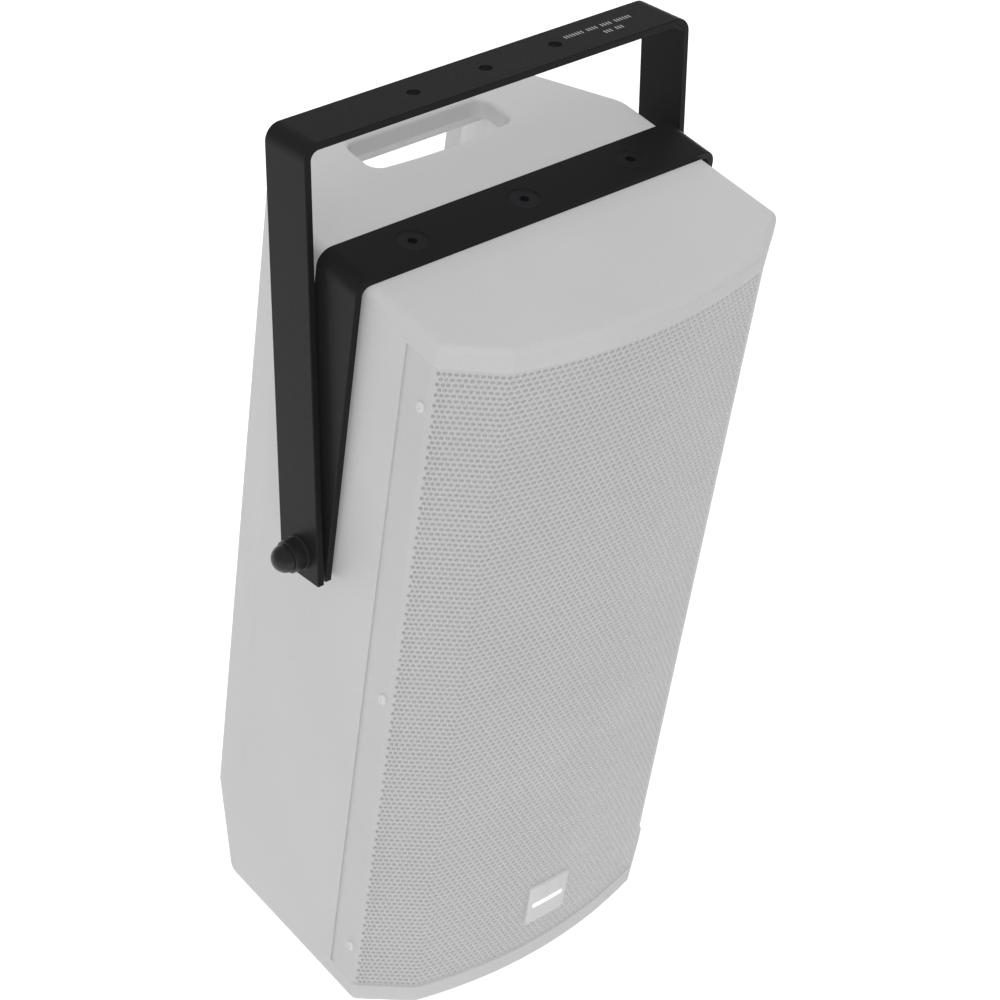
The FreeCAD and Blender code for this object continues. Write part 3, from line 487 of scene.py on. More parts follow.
def motor_steel():
    centres = centres_of("lf_pole_piece", "coax_pole_piece", letters="XZ")
    return turned_metal("motor_steel", (0.42, 0.42, 0.43), "XZ", centres,
                        0.8 * MM, 0.01 * MM, 0.28, 1.0)


def black_screw():
    """Black oxide over steel: dark, oily, with paler rubbed spots."""
    s = Surface("black_screw", metallic=0.5, specular=0.4)
    film = s.noise(1.0 * MM, 4.0)
    s.set("Base Color", s.mix(s.span(film, 0.6, 0.75), (0.014, 0.014, 0.015), (0.06, 0.06, 0.062)))
    s.set("Roughness", s.span(film, 0.3, 0.7, 0.3, 0.5))
    s.bump(s.noise(0.2 * MM, 2.0), 0.01 * MM)
    return s.material


def cast_basket():
    """A stoved casting: sand grain under a soft black film."""
    s = Surface("cast_basket", metallic=0.25, specular=0.4)
    sand = s.cells(1.1 * MM)
    flow = s.noise(0.014, 3.0)
    s.set("Base Color", s.mix(s.span(flow, 0.3, 0.7), (0.03, 0.03, 0.031), (0.055, 0.055, 0.057)))
    s.set("Roughness", s.span(sand, 0.0, 0.8, 0.42, 0.62))
    s.bump(flow, 0.15 * MM, s.bump(sand, 0.06 * MM))
    return s.material


def socket_steel():
    return textured_paint("socket_steel", (0.018, 0.018, 0.018), 0.8 * MM, 0.025 * MM, 0.42, 0.35,
                          (0.12, 0.12, 0.122), 0.8 * MM)


def input_plate():
    """Black anodised sheet, brushed across."""
    s = Surface("input_plate", metallic=0.4, specular=0.35)
    brushed = s.noise(0.25 * MM, 3.0, stretch=(60, 1, 1))
    s.set("Base Color", s.mix(s.span(brushed, 0.3, 0.7), (0.018, 0.018, 0.019), (0.032, 0.032, 0.034)))
    s.set("Roughness", s.span(brushed, 0.3, 0.7, 0.36, 0.52))
    s.bump(brushed, 0.012 * MM)
    return s.material


def wound_copper(name, letter, pitch):
    """Enamelled copper wire wound side by side, with painted shade in the grooves between the turns."""
    s = Surface(name, metallic=0.85, specular=0.5)
    turns = s.waves(s.axis(letter), pitch)
    cast = s.noise(5.0 * MM, 2.0)
    toned = s.mix(s.span(cast, 0.3, 0.7), (0.55, 0.22, 0.09), (0.66, 0.30, 0.14))
    # Dark in the grooves between the turns: painted shade.
    s.set("Base Color", s.mix(s.span(turns, 0.0, 0.4, 0.7, 0.0), toned, (0.18, 0.06, 0.02)))
    s.set("Roughness", 0.3)
    s.set("Coat Weight", 0.4)
    s.bump(turns, pitch * 0.3)
    return s.material


def voice_coil_copper():
    return wound_copper("voice_coil_copper", "Y", 0.5 * MM)


def inductor_copper():
    return wound_copper("inductor_copper", "Z", 1.0 * MM)


def ferrite():
    """Ground ferrite: dark grey ceramic with grinding lines and bright grains."""
    s = Surface("ferrite", specular=0.45)
    grains = s.cells(0.6 * MM)
    ground = s.noise(0.3 * MM, 2.0, stretch=(20, 1, 1))
    toned = s.mix(s.span(ground, 0.3, 0.7), (0.045, 0.045, 0.048), (0.075, 0.075, 0.08))
    s.set("Base Color", s.mix(s.span(grains, 0.0, 0.12, 0.6, 0.0), toned, (0.2, 0.2, 0.21)))
    s.set("Roughness", s.span(ground, 0.3, 0.7, 0.42, 0.62))
    s.bump(ground, 0.02 * MM, s.bump(grains, 0.02 * MM))
    return s.material


def diaphragm_film():
    """Thin formed foil with pressed rings and a fine crinkle, golden in the light."""
    s = Surface("diaphragm_film", metallic=1.0)
    rings = s.waves(s.radius("XZ", centres_of("hf_diaphragm", letters="XZ")), 1.5 * MM)
    crinkle = s.noise(1.2 * MM, 3.0)
    s.set("Base Color", s.mix(s.span(crinkle, 0.3, 0.7), (0.70, 0.63, 0.50), (0.80, 0.76, 0.66)))
    s.set("Roughness", s.span(crinkle, 0.3, 0.7, 0.2, 0.34))
    s.bump(rings, 0.05 * MM, s.bump(crinkle, 0.04 * MM))
    return s.material


# ---------------------------------------------------------------- paper, cloth, foam and wiring

def cone_paper():
    """Coated pulp: pressed fibres lying every way under a thin lacquer."""
    s = Surface("cone_paper", specular=0.3)
    fibres = s.noise(0.45 * MM, 3.0, stretch=(7, 1, 1), distortion=2.5)
    others = s.noise(0.45 * MM, 3.0, stretch=(1, 1, 7), distortion=2.5)
    felt = s.math("MAXIMUM", fibres, others)
    pulp = s.noise(0.012, 3.0)
    toned = s.mix(s.span(pulp, 0.3, 0.7), (0.030, 0.030, 0.031), (0.045, 0.045, 0.047))
    s.set("Base Color", s.mix(s.span(felt, 0.6, 0.8, 0.0, 0.6), toned, (0.09, 0.09, 0.092)))
    s.set("Roughness", s.span(pulp, 0.3, 0.7, 0.6, 0.78))
    s.set("Coat Weight", 0.12)
    s.bump(felt, 0.08 * MM)
    return s.material


def spider_cloth():
    """Resin-stiffened cotton: an open plain weave with painted shade in the gaps between its threads,
    darker where the resin pooled.
    """
    s = Surface("spider_cloth", specular=0.25)
    warp = s.waves(s.axis("X"), 0.9 * MM)
    weft = s.waves(s.axis("Z"), 0.9 * MM)
    weave = s.math("MULTIPLY", warp, weft)
    resin = s.noise(9.0 * MM, 3.0)
    toned = s.mix(s.span(resin, 0.3, 0.7), (0.62, 0.40, 0.13), (0.74, 0.56, 0.27))
    # Dark in the gaps between the threads: painted shade.
    s.set("Base Color", s.mix(s.span(weave, 0.0, 0.35, 0.7, 0.0), toned, (0.28, 0.16, 0.05)))
    s.set("Roughness", s.span(resin, 0.3, 0.7, 0.62, 0.85))
    s.bump(weave, 0.15 * MM)
    return s.material


def foam():
    """Open-cell foam: round pores edged by thin pale struts, the pores' middles darker as painted shade;
    the whole sheet is made pale, painted light that lifts the shade behind the grille.
    """
    s = Surface("foam", roughness=0.95, specular=0.1)
    pores = s.cells(0.9 * MM, "DISTANCE_TO_EDGE")
    fine = s.cells(0.4 * MM)
    # Darker pore middles: painted shade in the pores. The pale tones are painted light against the shade
    # behind the grille.
    toned = s.mix(s.span(pores, 0.0, 0.35), (0.45, 0.45, 0.452), (0.39, 0.39, 0.392))
    s.set("Base Color", s.mix(s.span(fine, 0.2, 0.7, 0.0, 0.3), toned, (0.34, 0.34, 0.342)))
    s.set("Sheen Weight", 0.1)
    s.bump(pores, -0.25 * MM, s.bump(fine, 0.06 * MM))
    return s.material


def damping_wool():
    """Loose wadding: tangled pale fibres with tufts and shadowed gaps."""
    s = Surface("damping_wool", roughness=1.0, specular=0.05)
    fibres = s.noise(0.6 * MM, 4.0, stretch=(1, 10, 1), distortion=3.0)
    crossed = s.noise(0.6 * MM, 4.0, stretch=(1, 1, 10), distortion=3.0)
    tuft = s.noise(0.012, 3.0)
    felt = s.math("MAXIMUM", fibres, crossed)
    toned = s.mix(s.span(tuft, 0.3, 0.7), (0.50, 0.50, 0.46), (0.70, 0.70, 0.66))
    s.set("Base Color", s.mix(s.span(felt, 0.45, 0.75), shade((0.5, 0.5, 0.46), 0.7), toned))
    s.set("Sheen Weight", 0.4)
    s.bump(felt, 0.5 * MM, s.bump(tuft, 0.8 * MM))
    return s.material


def board_laminate():
    """Circuit laminate: lacquered glass weave with copper tracks showing through."""
    s = Surface("board_laminate", specular=0.5)
    weave = s.math("MULTIPLY", s.waves(s.axis("X"), 0.8 * MM), s.waves(s.axis("Y"), 0.8 * MM))
    tracks = s.waves(s.math("ADD", s.axis("Y"), s.math("MULTIPLY", s.noise(0.03, 0.0), 0.04)), 14 * MM)
    ground = s.mix(weave, (0.16, 0.11, 0.045), (0.22, 0.155, 0.07))
    s.set("Base Color", s.mix(s.span(tracks, 0.62, 0.68), ground, (0.35, 0.22, 0.08)))
    s.set("Roughness", s.span(weave, 0.0, 1.0, 0.3, 0.45))
    s.bump(s.span(tracks, 0.62, 0.68), 0.035 * MM, s.bump(weave, 0.01 * MM))
    return s.material


def capacitor_case():
    """Wrapped film: a satin skin with faint turns and tape laps."""
    s = Surface("capacitor_case", specular=0.5)
    laps = s.waves(s.axis("X"), 8.0 * MM)
    film = s.noise(2.0 * MM, 3.0, stretch=(3, 1, 1))
    s.set("Base Color", s.mix(s.span(laps, 0.9, 0.97), (0.55, 0.36, 0.06), (0.42, 0.26, 0.04)))
    s.set("Roughness", s.span(film, 0.3, 0.7, 0.25, 0.4))
    s.bump(film, 0.03 * MM)
    return s.material


def resistor_cement():
    """White cement: chalky, pitted with painted shade in the pits, and a little stained."""
    s = Surface("resistor_cement", roughness=0.9, specular=0.2)
    pits = s.cells(1.0 * MM)
    stain = s.noise(6.0 * MM, 3.0)
    toned = s.mix(s.span(stain, 0.3, 0.7), (0.62, 0.61, 0.57), (0.74, 0.73, 0.70))
    # Darker in the pits: painted shade.
    s.set("Base Color", s.mix(s.span(pits, 0.0, 0.25, 0.5, 0.0), toned, (0.45, 0.44, 0.41)))
    s.bump(pits, 0.12 * MM)
    return s.material


def jacket(name, colour):
    """A wire's soft plastic skin, dull with small scuffs."""
    s = Surface(name, specular=0.4)
    scuffs = s.noise(1.5 * MM, 4.0, stretch=(1, 1, 3))
    s.set("Base Color", s.mix(s.span(scuffs, 0.5, 0.75), colour, shade(colour, 1.6)))
    s.set("Roughness", s.span(scuffs, 0.3, 0.7, 0.38, 0.6))
    s.bump(scuffs, 0.03 * MM)
    return s.material


FINISHES = {
    "cabinet_paint": cabinet_paint, "baffle_paint": baffle_paint, "bare_plywood": bare_plywood,
    "handle_moulding": handle_moulding, "grille_paint": grille_paint, "foam": foam,
    "zinc_plate": zinc_plate, "painted_screw": painted_screw,
    "badge_plastic": badge_plastic, "badge_white": badge_white,
    "black_powder_coat": black_powder_coat, "black_screw": black_screw, "black_nylon": black_nylon,
    "black_cap": black_cap, "cast_basket": cast_basket, "gasket": gasket,
    "surround_rubber": surround_rubber, "spider_cloth": spider_cloth, "motor_steel": motor_steel,
    "ferrite": ferrite, "cone_paper": cone_paper, "copper_coil": inductor_copper,
    "black_abs": black_abs, "diaphragm_film": diaphragm_film, "damping_wool": damping_wool,
    "foot_rubber": foot_rubber, "socket_steel": socket_steel, "input_plate": input_plate,
    "terminal_block": terminal_block, "board_laminate": board_laminate,
    "capacitor_case": capacitor_case, "resistor_cement": resistor_cement,
}
OWN_FINISHES = {
    "bracket_screws": bracket_screw_finish,
    "lf_voice_coil": voice_coil_copper,
    "coax_voice_coil": voice_coil_copper,
}
made_finishes = {}


def finish_of(make):
    """The material that a finish function makes, made once and shared."""
    if make not in made_finishes:
        made_finishes[make] = make()
    return made_finishes[make]


def finish_cad_nodes():
    """Give every CAD node the finish for its own name, or else for its slot."""
    for name, obj in NODES.items():
        slot_name = obj.data.materials[0].name.split(".")[0]
        make = OWN_FINISHES.get(name) or FINISHES.get(slot_name)
        if make is None:
            continue
        material = finish_of(make)
        slots = obj.data.materials
        for index in range(len(slots)):
            slots[index] = material


# ---------------------------------------------------------------- mesh helpers

def new_piece(name, vertices, faces, material, body, smooth_angle=None):
    mesh = bpy.data.meshes.new(name)
    mesh.from_pydata(vertices, [], faces)
    mesh.update()
    if smooth_angle is not None:
        mesh.shade_smooth()
        mesh.set_sharp_from_angle(angle=math.radians(smooth_angle))
    mesh.materials.append(material)
    obj = bpy.data.objects.new(name, mesh)
    bpy.context.scene.collection.objects.link(obj)
    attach(obj, body)
    return obj


class FrontSheet:
    """A sheet that follows the cabinet's front. 'along' is the distance along it from the middle."""

    def __init__(self, inset, side_x, bend_r):
        outward = Vector((FACET_RUN.y, -FACET_RUN.x))
        sagitta = FACET_Y - APEX_Y
        full_r = (FACET_HALF ** 2 + sagitta ** 2) / (2 * sagitta)
        self.arc_r = full_r - inset
        self.centre = Vector((0.0, APEX_Y + full_r))
        start = Vector((FACET_HALF, FACET_Y)) - outward * inset
        to_start = start - self.centre
        forward = to_start.dot(FACET_RUN)
        reach = math.sqrt(self.arc_r ** 2 - to_start.length_squared + forward ** 2)
        self.crease = start + FACET_RUN * (-forward - reach)
        self.corner = start + FACET_RUN * ((side_x - start.x) / FACET_RUN.x)
        self.outward = outward
        self.bend_r = bend_r
        self.turn = math.acos(FACET_RUN.y)
        setback = bend_r * math.tan(self.turn / 2)
        self.arc_end = self.arc_r * math.asin((self.crease - self.centre).x / self.arc_r)
        self.facet_end = self.arc_end + (self.corner - self.crease).length - setback
        self.bend_end = self.facet_end + bend_r * self.turn
        self.bend_start_point = self.corner - FACET_RUN * setback
        self.side_start_point = self.corner + Vector((0.0, setback))

    def at(self, along):
        """The point and outward normal at a distance from the middle."""
        s = abs(along)
        if s <= self.arc_end:
            angle = s / self.arc_r
            normal = Vector((math.sin(angle), -math.cos(angle)))
            point = self.centre + normal * self.arc_r
        elif s <= self.facet_end:
            normal = self.outward
            point = self.crease + FACET_RUN * (s - self.arc_end)
        elif s <= self.bend_end:
            angle = (s - self.facet_end) / self.bend_r
            start = math.atan2(self.outward.y, self.outward.x)
            normal = Vector((math.cos(start + angle), math.sin(start + angle)))
            middle = self.bend_start_point - self.outward * self.bend_r
            point = middle + normal * self.bend_r
        else:
            normal = Vector((1.0, 0.0))
            point = self.side_start_point + Vector((0.0, s - self.bend_end))
        if along < 0:
            point = Vector((-point.x, point.y))
            normal = Vector((-normal.x, normal.y))
        return point, normal


def sheet_vertices(sheet, places, thickness):
    """Front vertices, then back vertices, for a list of (along, z) places."""
    front = []
    back = []
    for along, z in places:
        point, normal = sheet.at(along)
        inner = point - normal * thickness
        front.append((point.x, point.y, z))
        back.append((inner.x, inner.y, z))
    return front + back


def grid_faces(across, up):
    """Quads of a grid with 'across' by 'up' cells, whose vertices run row by row."""
    row = across + 1
    return [[j * row + i, j * row + i + 1, (j + 1) * row + i + 1, (j + 1) * row + i]
            for j in range(up) for i in range(across)]


def closed_sheet_faces(front_faces, count):
    """Front faces, their backs, and walls along every open edge."""
    directed = {(a, b) for face in front_faces for a, b in zip(face, face[1:] + face[:1])}
    walls = [(b, a, a + count, b + count) for a, b in directed if (b, a) not in directed]
    backs = [tuple(v + count for v in reversed(face)) for face in front_faces]
    return [tuple(f) for f in front_faces] + backs + sorted(walls)


# ---------------------------------------------------------------- grille

def column_place(sheet, column):
    """Distance from the middle of a column of holes."""
    arc_columns = int(sheet.arc_end / ARC_STEP)
    count = abs(column)
    on_arc = min(count, arc_columns)
    on_facet = min(max(count - arc_columns, 0), FACET_COLUMNS)
    outer = max(count - arc_columns - FACET_COLUMNS, 0)
    along = on_arc * ARC_STEP + on_facet * FACET_STEP + outer * OUTER_STEP
    return math.copysign(along, column)


def perforated_faces(sheet, low_z, high_z, places):
    """Front faces of the perforated field and its plain margins. Adds to 'places'."""
    last = int(sheet.arc_end / ARC_STEP) + FACET_COLUMNS + OUTER_COLUMNS
    last -= last % 2
    edge = column_place(sheet, last) + SIDE_MARGIN
    spots = {}

    def add_point(along, z):
        places.append((along, z))
        return [len(places) - 1] * HOLE_SIDES

    def add_hole(column, z):
        first = len(places)
        along = column_place(sheet, column)
        pitch = column_place(sheet, column + 1) - column_place(sheet, column - 1)
        for i in range(HOLE_SIDES):
            angle = math.radians((i + 0.5) * 360 / HOLE_SIDES)
            across = HOLE_SHARE * pitch * math.cos(angle)
            places.append((along + across, z + HOLE_HALF_HEIGHT * math.sin(angle)))
        return list(range(first, first + HOLE_SIDES))

    for row in range(-1, ROWS + 1):
        margin_row = row < 0 or row == ROWS
        z = TOP_ROW_Z - row * ROW_STEP
        if margin_row:
            z = high_z if row < 0 else low_z
        reach = last + 1 if row % 2 else last + 2
        for column in range(-reach, reach + 1, 2):
            on_edge = abs(column) == reach
            along = math.copysign(edge, column) if on_edge else column_place(sheet, column)
            plain = margin_row or on_edge
            spots[column, row] = add_point(along, z) if plain else add_hole(column, z)

    faces = web_faces(spots)
    for side in (-1, 1):
        rim = sorted({ids[0] for ids in spots.values()
                      if abs(places[ids[0]][0] - side * edge) < SAME_PLACE}, key=lambda i: -places[i][1])
        faces += flange_faces(sheet, side, edge, rim, places)
    return faces


def web_faces(spots):
    """The metal between the holes. Corner i of a hole lies at 22.5 + 45 i degrees from the right."""
    faces = []

    def add_face(*corners):
        ids = []
        for spot, corner in corners:
            vertex = spot[corner]
            if vertex not in ids:
                ids.append(vertex)
        if len(ids) > 2:
            faces.append(ids)

    for (column, row), spot in spots.items():
        right = spots.get((column + 2, row))
        up_right = spots.get((column + 1, row - 1))
        up_left = spots.get((column - 1, row - 1))
        down_left = spots.get((column - 1, row + 1))
        down_right = spots.get((column + 1, row + 1))
        if right:
            add_face((spot, 7), (right, 4), (right, 3), (spot, 0))
        if up_right:
            add_face((spot, 0), (up_right, 5), (up_right, 4), (spot, 1))
        if up_left:
            add_face((spot, 2), (up_left, 7), (up_left, 6), (spot, 3))
        if up_right and up_left:
            add_face((spot, 1), (up_right, 4), (up_left, 7), (spot, 2))
        if down_left and down_right:
            add_face((spot, 5), (down_left, 0), (down_right, 3), (spot, 6))
    return faces


def flange_faces(sheet, side, edge, rim, places):
    """The plain side flange, from the last bend of the field back to its free end."""
    _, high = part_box("grille")
    length = high.y - sheet.side_start_point.y
    stations = [edge + (sheet.bend_end - edge) * i / FOLD_STEPS for i in range(1, FOLD_STEPS + 1)]
    stations += [sheet.bend_end + length * i / FLANGE_STEPS for i in range(1, FLANGE_STEPS + 1)]
    faces = []
    previous = rim
    for station in stations:
        line = []
        for vertex in rim:
            places.append((side * station, places[vertex][1]))
            line.append(len(places) - 1)
        for i in range(len(rim) - 1):
            quad = [previous[i], previous[i + 1], line[i + 1], line[i]]
            faces.append(quad if side > 0 else quad[::-1])
        previous = line
    return faces


def build_grille():
    """The perforated sheet with its two flanges, as two mirrored halves of one sheet."""
    low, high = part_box("grille")
    sheet = FrontSheet(GRILLE_INSET, SIDE_X, BEND_R)
    places = []
    faces = perforated_faces(sheet, low.z, high.z, places)
    halves = {"grille_left": [], "grille_right": []}
    for face in faces:
        middle = sum(places[v][0] for v in face) / len(face)
        halves["grille_left" if middle < 0 else "grille_right"].append(face)
    for name, chosen in halves.items():
        used = sorted({v for face in chosen for v in face})
        renumber = {v: i for i, v in enumerate(used)}
        own_faces = [[renumber[v] for v in face] for face in chosen]
        vertices = sheet_vertices(sheet, [places[v] for v in used], GRILLE_T)
        closed = closed_sheet_faces(own_faces, len(used))
        piece = new_piece(name, vertices, closed, finish_of(grille_paint), "cabinet",
                          smooth_angle=50)
        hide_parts("grille")


def foam_lump(point):
    """How far the foam's surface sinks at a point: broad lumps with finer ones on them."""
    broad = noise.noise(point * 90) * 0.25 * MM
    fine = noise.noise(point * 310) * 0.12 * MM
    return abs(broad + fine)


def build_foam():
    """The foam behind the grille: a soft uneven sheet."""
    low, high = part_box("grille_foam")
    sheet = FrontSheet(GRILLE_INSET + GRILLE_T + FOAM_GAP, high.x, FOAM_T)
    reach = sheet.bend_end + (high.y - sheet.side_start_point.y)
    places = []
    for j in range(FOAM_UP + 1):
        for i in range(FOAM_ACROSS + 1):
            z = low.z + (high.z - low.z) * j / FOAM_UP
            places.append((reach * (2 * i / FOAM_ACROSS - 1), z))
    count = len(places)
    softened = []
    for index, vertex in enumerate(sheet_vertices(sheet, places, FOAM_T)):
        along, _ = places[index % count]
        _, normal = sheet.at(along)
        sink = foam_lump(Vector(vertex))
        push = sink if index < count else -sink
        softened.append((vertex[0] - normal.x * push, vertex[1] - normal.y * push, vertex[2]))
    faces = closed_sheet_faces(grid_faces(FOAM_ACROSS, FOAM_UP), count)
    piece = new_piece("grille_foam_sheet", softened, faces, finish_of(foam), "cabinet",
                      smooth_angle=60)
    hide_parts("grille_foam")


# ---------------------------------------------------------------- wadding

def wadding_depth(wall, u, v, y, z):
    """A pad's thickness as a share of its full one: crowned, thin at the rim, with loose tufts."""
    crown = (max(0.0, 1 - abs(u) ** 8) * max(0.0, 1 - abs(v) ** 14)) ** 0.4
    tuft = noise.noise(Vector((wall * 9, y * 38, z * 38))) * 0.16
    tuft += noise.noise(Vector((wall * 9 + 4, y * 120, z * 120))) * 0.06
    thinnest = 0.12
    usual = 0.82
    return min(1.0, max(thinnest, crown * (usual + tuft)))


def wadding_pad(name, low, high, inward):
    """A pad of wadding against a side wall, pulled in between its corners."""
    thickness = high.x - low.x
    wall = high.x if inward < 0 else low.x
    pull_y = 0.025
    pull_z = 0.015
    front = []
    back = []
    for j in range(WADDING_UP + 1):
        for i in range(WADDING_ACROSS + 1):
            u = 2 * i / WADDING_ACROSS - 1
            v = 2 * j / WADDING_UP - 1
            share_y = 1 - pull_y * (1 - v * v)
            share_z = 1 - pull_z * (1 - u * u)
            y = (low.y + high.y) / 2 + (high.y - low.y) / 2 * u * share_y
            z = (low.z + high.z) / 2 + (high.z - low.z) / 2 * v * share_z
            depth = thickness * wadding_depth(wall, u, v, y, z)
            front.append((wall + inward * depth, y, z))
            back.append((wall, y, z))
    faces = grid_faces(WADDING_ACROSS, WADDING_UP)
    if inward < 0:
        faces = [face[::-1] for face in faces]
    closed = closed_sheet_faces(faces, len(front))
    piece = new_piece(name, front + back, closed, finish_of(damping_wool), "cabinet",
                      smooth_angle=70)
    soften = piece.modifiers.new("soft", "SUBSURF")
    soften.levels = 1
    soften.render_levels = 1
    return piece


def build_wadding():
    """Two pads on each side wall, one above the brace and one below it."""
    low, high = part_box("damping_pads")
    brace_low, brace_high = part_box("window_brace")
    spans = (("lower", low.z, brace_low.z - WADDING_GAP), ("upper", brace_high.z + WADDING_GAP, high.z))
    sides = (("right", high.x - WADDING_T, high.x, -1), ("left", low.x, low.x + WADDING_T, 1))
    for label, z0, z1 in spans:
        for side, x0, x1, inward in sides:
            name = "wadding_%s_%s" % (side, label)
            pad = wadding_pad(name, Vector((x0, low.y, z0)), Vector((x1, high.y, z1)), inward)
            if label == "lower":
                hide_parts("damping_pads")


# ---------------------------------------------------------------- wiring

def rounded_route(points, radius, steps=8):
    """A path through the points with its corners rounded."""
    path = [points[0]]
    for before, here, after in zip(points, points[1:], points[2:]):
        to_before = (before - here).normalized()
        to_after = (after - here).normalized()
        longest = 0.45 * min((before - here).length, (after - here).length)
        reach = min(radius, longest)
        start = here + to_before * reach
        end = here + to_after * reach
        for i in range(steps + 1):
            t = i / steps
            path.append(start * (1 - t) ** 2 + here * 2 * t * (1 - t) + end * t ** 2)
    path.append(points[-1])
    return path


def even_path(path, step):
    """The same path with evenly spaced points."""
    out = [path[0]]
    spare = 0.0
    for a, b in zip(path, path[1:]):
        length = (b - a).length
        at = step - spare
        while at < length:
            out.append(a + (b - a) * (at / length))
            at += step
        spare = length - (at - step)
    out.append(path[-1])
    return out


def path_frames(path):
    """A pair of directions square to the path at each point, turning as little as possible."""
    frames = []
    side = None
    for i, point in enumerate(path):
        along = (path[min(i + 1, len(path) - 1)] - path[max(i - 1, 0)]).normalized()
        if side is None:
            side = along.orthogonal().normalized()
        side = (side - along * side.dot(along)).normalized()
        frames.append((side, along.cross(side)))
    return frames


def swept_tube(path, radius, sides):
    """Vertices and faces of a closed round tube along a path."""
    vertices = []
    faces = []
    for point, (u, v) in zip(path, path_frames(path)):
        for k in range(sides):
            angle = 2 * math.pi * k / sides
            vertices.append(tuple(point + (u * math.cos(angle) + v * math.sin(angle)) * radius))
    for i in range(len(path) - 1):
        for k in range(sides):
            a = i * sides + k
            b = i * sides + (k + 1) % sides
            faces.append((a, b, b + sides, a + sides))
    faces.append(tuple(reversed(range(sides))))
    faces.append(tuple((len(path) - 1) * sides + k for k in range(sides)))
    return vertices, faces


def twisted_pair(name, points, materials):
    """Two wires twisted round each other along a route, each with its own jacket."""
    path = even_path(rounded_route(points, WIRE_BEND_R), WIRE_STEP)
    frames = path_frames(path)
    for index, material in enumerate(materials):
        strand = []
        for i, (point, (u, v)) in enumerate(zip(path, frames)):
            angle = 2 * math.pi * (i * WIRE_STEP / WIRE_TWIST + index / 2)
            strand.append(point + (u * math.cos(angle) + v * math.sin(angle)) * WIRE_R)
        vertices, faces = swept_tube(strand, WIRE_R, WIRE_SIDES)
        wire = new_piece("%s_wire_%d" % (name, index + 1), vertices, faces, material, "cabinet",
                         smooth_angle=50)
        if name == "input_lead" and index == 0:
            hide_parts("wiring_harness")


def build_wiring():
    """Twisted pairs from the input sockets to the board and from the board to each driver."""
    dark = jacket("wire_black", (0.014, 0.014, 0.014))
    bright = jacket("wire_red", (0.32, 0.02, 0.018))
    routes = {
        "input_lead": ((48, 121, 262), (48, 121, 60), (54, 104, 33)),
        "lower_lead": ((-4, 82, 33), (-4, 82, 100), (-70, 30, 190), (-64, -16, 236)),
        "upper_lead": ((2, 106, 33), (2, 106, 60), (-58, 84, 140), (-58, 84, 400), (-70, 10, 444),
                       (-64, -16, 450)),
    }
    for name, route in routes.items():
        twisted_pair(name, [Vector(p) * MM for p in route], (dark, bright))


# ---------------------------------------------------------------- yoke print

def rounded_bar(x, y, width, height, thickness, corner_r, first):
    """A low bar with rounded corners standing on z = 0; 'first' is its first vertex number."""
    outline = []
    for cx, cy, turn in ((1, 1, 0), (-1, 1, 90), (-1, -1, 180), (1, -1, 270)):
        for k in range(4):
            angle = math.radians(turn + 30 * k)
            outline.append((x + cx * (width / 2 - corner_r) + corner_r * math.cos(angle),
                            y + cy * (height / 2 - corner_r) + corner_r * math.sin(angle)))
    n = len(outline)
    vertices = [(px, py, 0.0) for px, py in outline] + [(px, py, thickness) for px, py in outline]
    faces = [tuple(first + n + k for k in range(n)), tuple(first + k for k in reversed(range(n)))]
    for k in range(n):
        after = (k + 1) % n
        faces.append((first + k, first + after, first + n + after, first + n + k))
    return vertices, faces


def build_yoke_print():
    """Two plain rows of fine printed ticks near the right end of the yoke's bar."""
    # Each row: where it starts, its place across the bar, and the ticks in each group.
    rows = ((69.0, 4.0, (7, 4, 4, 6)), (95.0, -5.3, (3, 3)))
    bar_w = 0.9 * MM
    bar_h = 4.0 * MM
    film_t = 0.06 * MM
    corner_r = 0.3 * MM
    pitch = 2.35 * MM
    group_gap = 2.6 * MM
    vertices = []
    faces = []
    for start, y, groups in rows:
        x = start * MM + bar_w / 2
        for count in groups:
            for _ in range(count):
                tick, tick_faces = rounded_bar(x, y * MM, bar_w, bar_h, film_t, corner_r, len(vertices))
                vertices += tick
                faces += tick_faces
                x += pitch
            x += group_gap
    lean = Matrix.Rotation(-YOKE_LEAN, 4, "X")
    place = Matrix.Translation(PIVOT) @ lean @ Matrix.Translation((0, 0, YOKE_RISE))
    vertices = [tuple(place @ Vector(v)) for v in vertices]
    new_piece("yoke_print", vertices, faces, finish_of(print_ink), "yoke")


# ---------------------------------------------------------------- floor, light and camera

def floor_material():
    s = Surface("floor_paper", roughness=0.9, specular=0.1)
    cloud = s.noise(0.6, 3.0)
    s.set("Base Color", s.mix(s.span(cloud, 0.3, 0.7), (0.93, 0.93, 0.93), (0.95, 0.95, 0.95)))
    s.bump(s.noise(2.5 * MM, 3.0), 0.03 * MM)
    return s.material


def build_floor():
    low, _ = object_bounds()
    mesh = bpy.data.meshes.new("floor")
    turns = ((-1, -1), (1, -1), (1, 1), (-1, 1))
    corners = [(x * FLOOR_HALF, y * FLOOR_HALF, low.z) for x, y in turns]
    mesh.from_pydata(corners, [], [(0, 1, 2, 3)])
    mesh.materials.append(floor_material())
    floor = bpy.data.objects.new("floor", mesh)
    bpy.context.scene.collection.objects.link(floor)


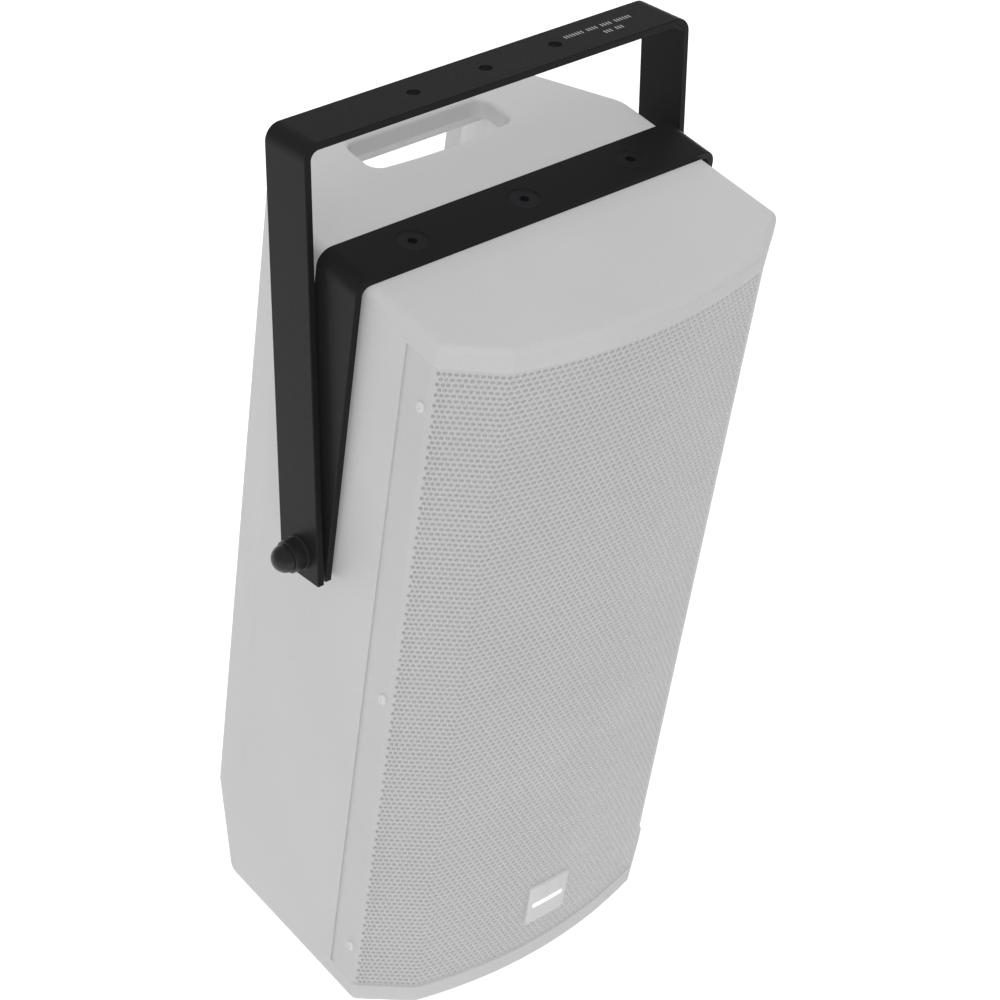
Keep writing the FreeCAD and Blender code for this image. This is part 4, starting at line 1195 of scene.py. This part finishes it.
def fill_sun(name, direction, strength, spread):
    """Broad shadowless light from one side, left out of reflections, which come from the world."""
    lamp = bpy.data.lights.new(name, "SUN")
    lamp.energy = strength
    lamp.angle = math.radians(spread)
    lamp.use_shadow = False
    obj = bpy.data.objects.new(name, lamp)
    bpy.context.scene.collection.objects.link(obj)
    outward = Vector(direction).normalized()
    obj.location = outward * SUN_DISTANCE
    obj.visible_glossy = False
    obj.rotation_euler = outward.to_track_quat("Z", "Y").to_euler()


def build_light():
    world = bpy.data.worlds.new("studio")
    bpy.context.scene.world = world
    world.use_nodes = True
    tree = world.node_tree
    background = tree.nodes["Background"]
    background.inputs["Color"].default_value = (1.0, 1.0, 1.0, 1.0)
    # The camera sees a plain white backdrop; the light it gives is weaker.
    seen = tree.nodes.new("ShaderNodeLightPath").outputs["Is Camera Ray"]
    strength = tree.nodes.new("ShaderNodeMapRange")
    strength.inputs["To Min"].default_value = WORLD_STRENGTH
    strength.inputs["To Max"].default_value = BACKDROP_STRENGTH
    tree.links.new(seen, strength.inputs["Value"])
    tree.links.new(strength.outputs[0], background.inputs["Strength"])
    for name, direction, strength, spread in FILL_SUNS:
        fill_sun(name, direction, strength, spread)


def build_camera():
    azimuth = math.radians(CAMERA_AZIMUTH)
    elevation = math.radians(CAMERA_ELEVATION)
    roll = math.radians(CAMERA_ROLL)
    back = Vector((math.sin(azimuth) * math.cos(elevation),
                   -math.cos(azimuth) * math.cos(elevation),
                   math.sin(elevation)))
    level = Vector((0, 0, 1)).cross(back).normalized()
    upright = back.cross(level)
    right = level * math.cos(roll) + upright * math.sin(roll)
    up = upright * math.cos(roll) - level * math.sin(roll)
    data = bpy.data.cameras.new("camera")
    data.lens = CAMERA_LENS
    data.sensor_width = SENSOR_WIDTH
    camera = bpy.data.objects.new("camera", data)
    bpy.context.scene.collection.objects.link(camera)
    turned = Matrix((right, up, back)).transposed().to_4x4()
    camera.matrix_world = Matrix.Translation(LOOK_AT + back * CAMERA_DISTANCE) @ turned
    bpy.context.scene.camera = camera


finish_cad_nodes()
build_grille()
build_foam()
build_wadding()
build_wiring()
build_yoke_print()
build_floor()
build_light()
build_camera()
bpy.context.scene.view_settings.view_transform = "Standard"
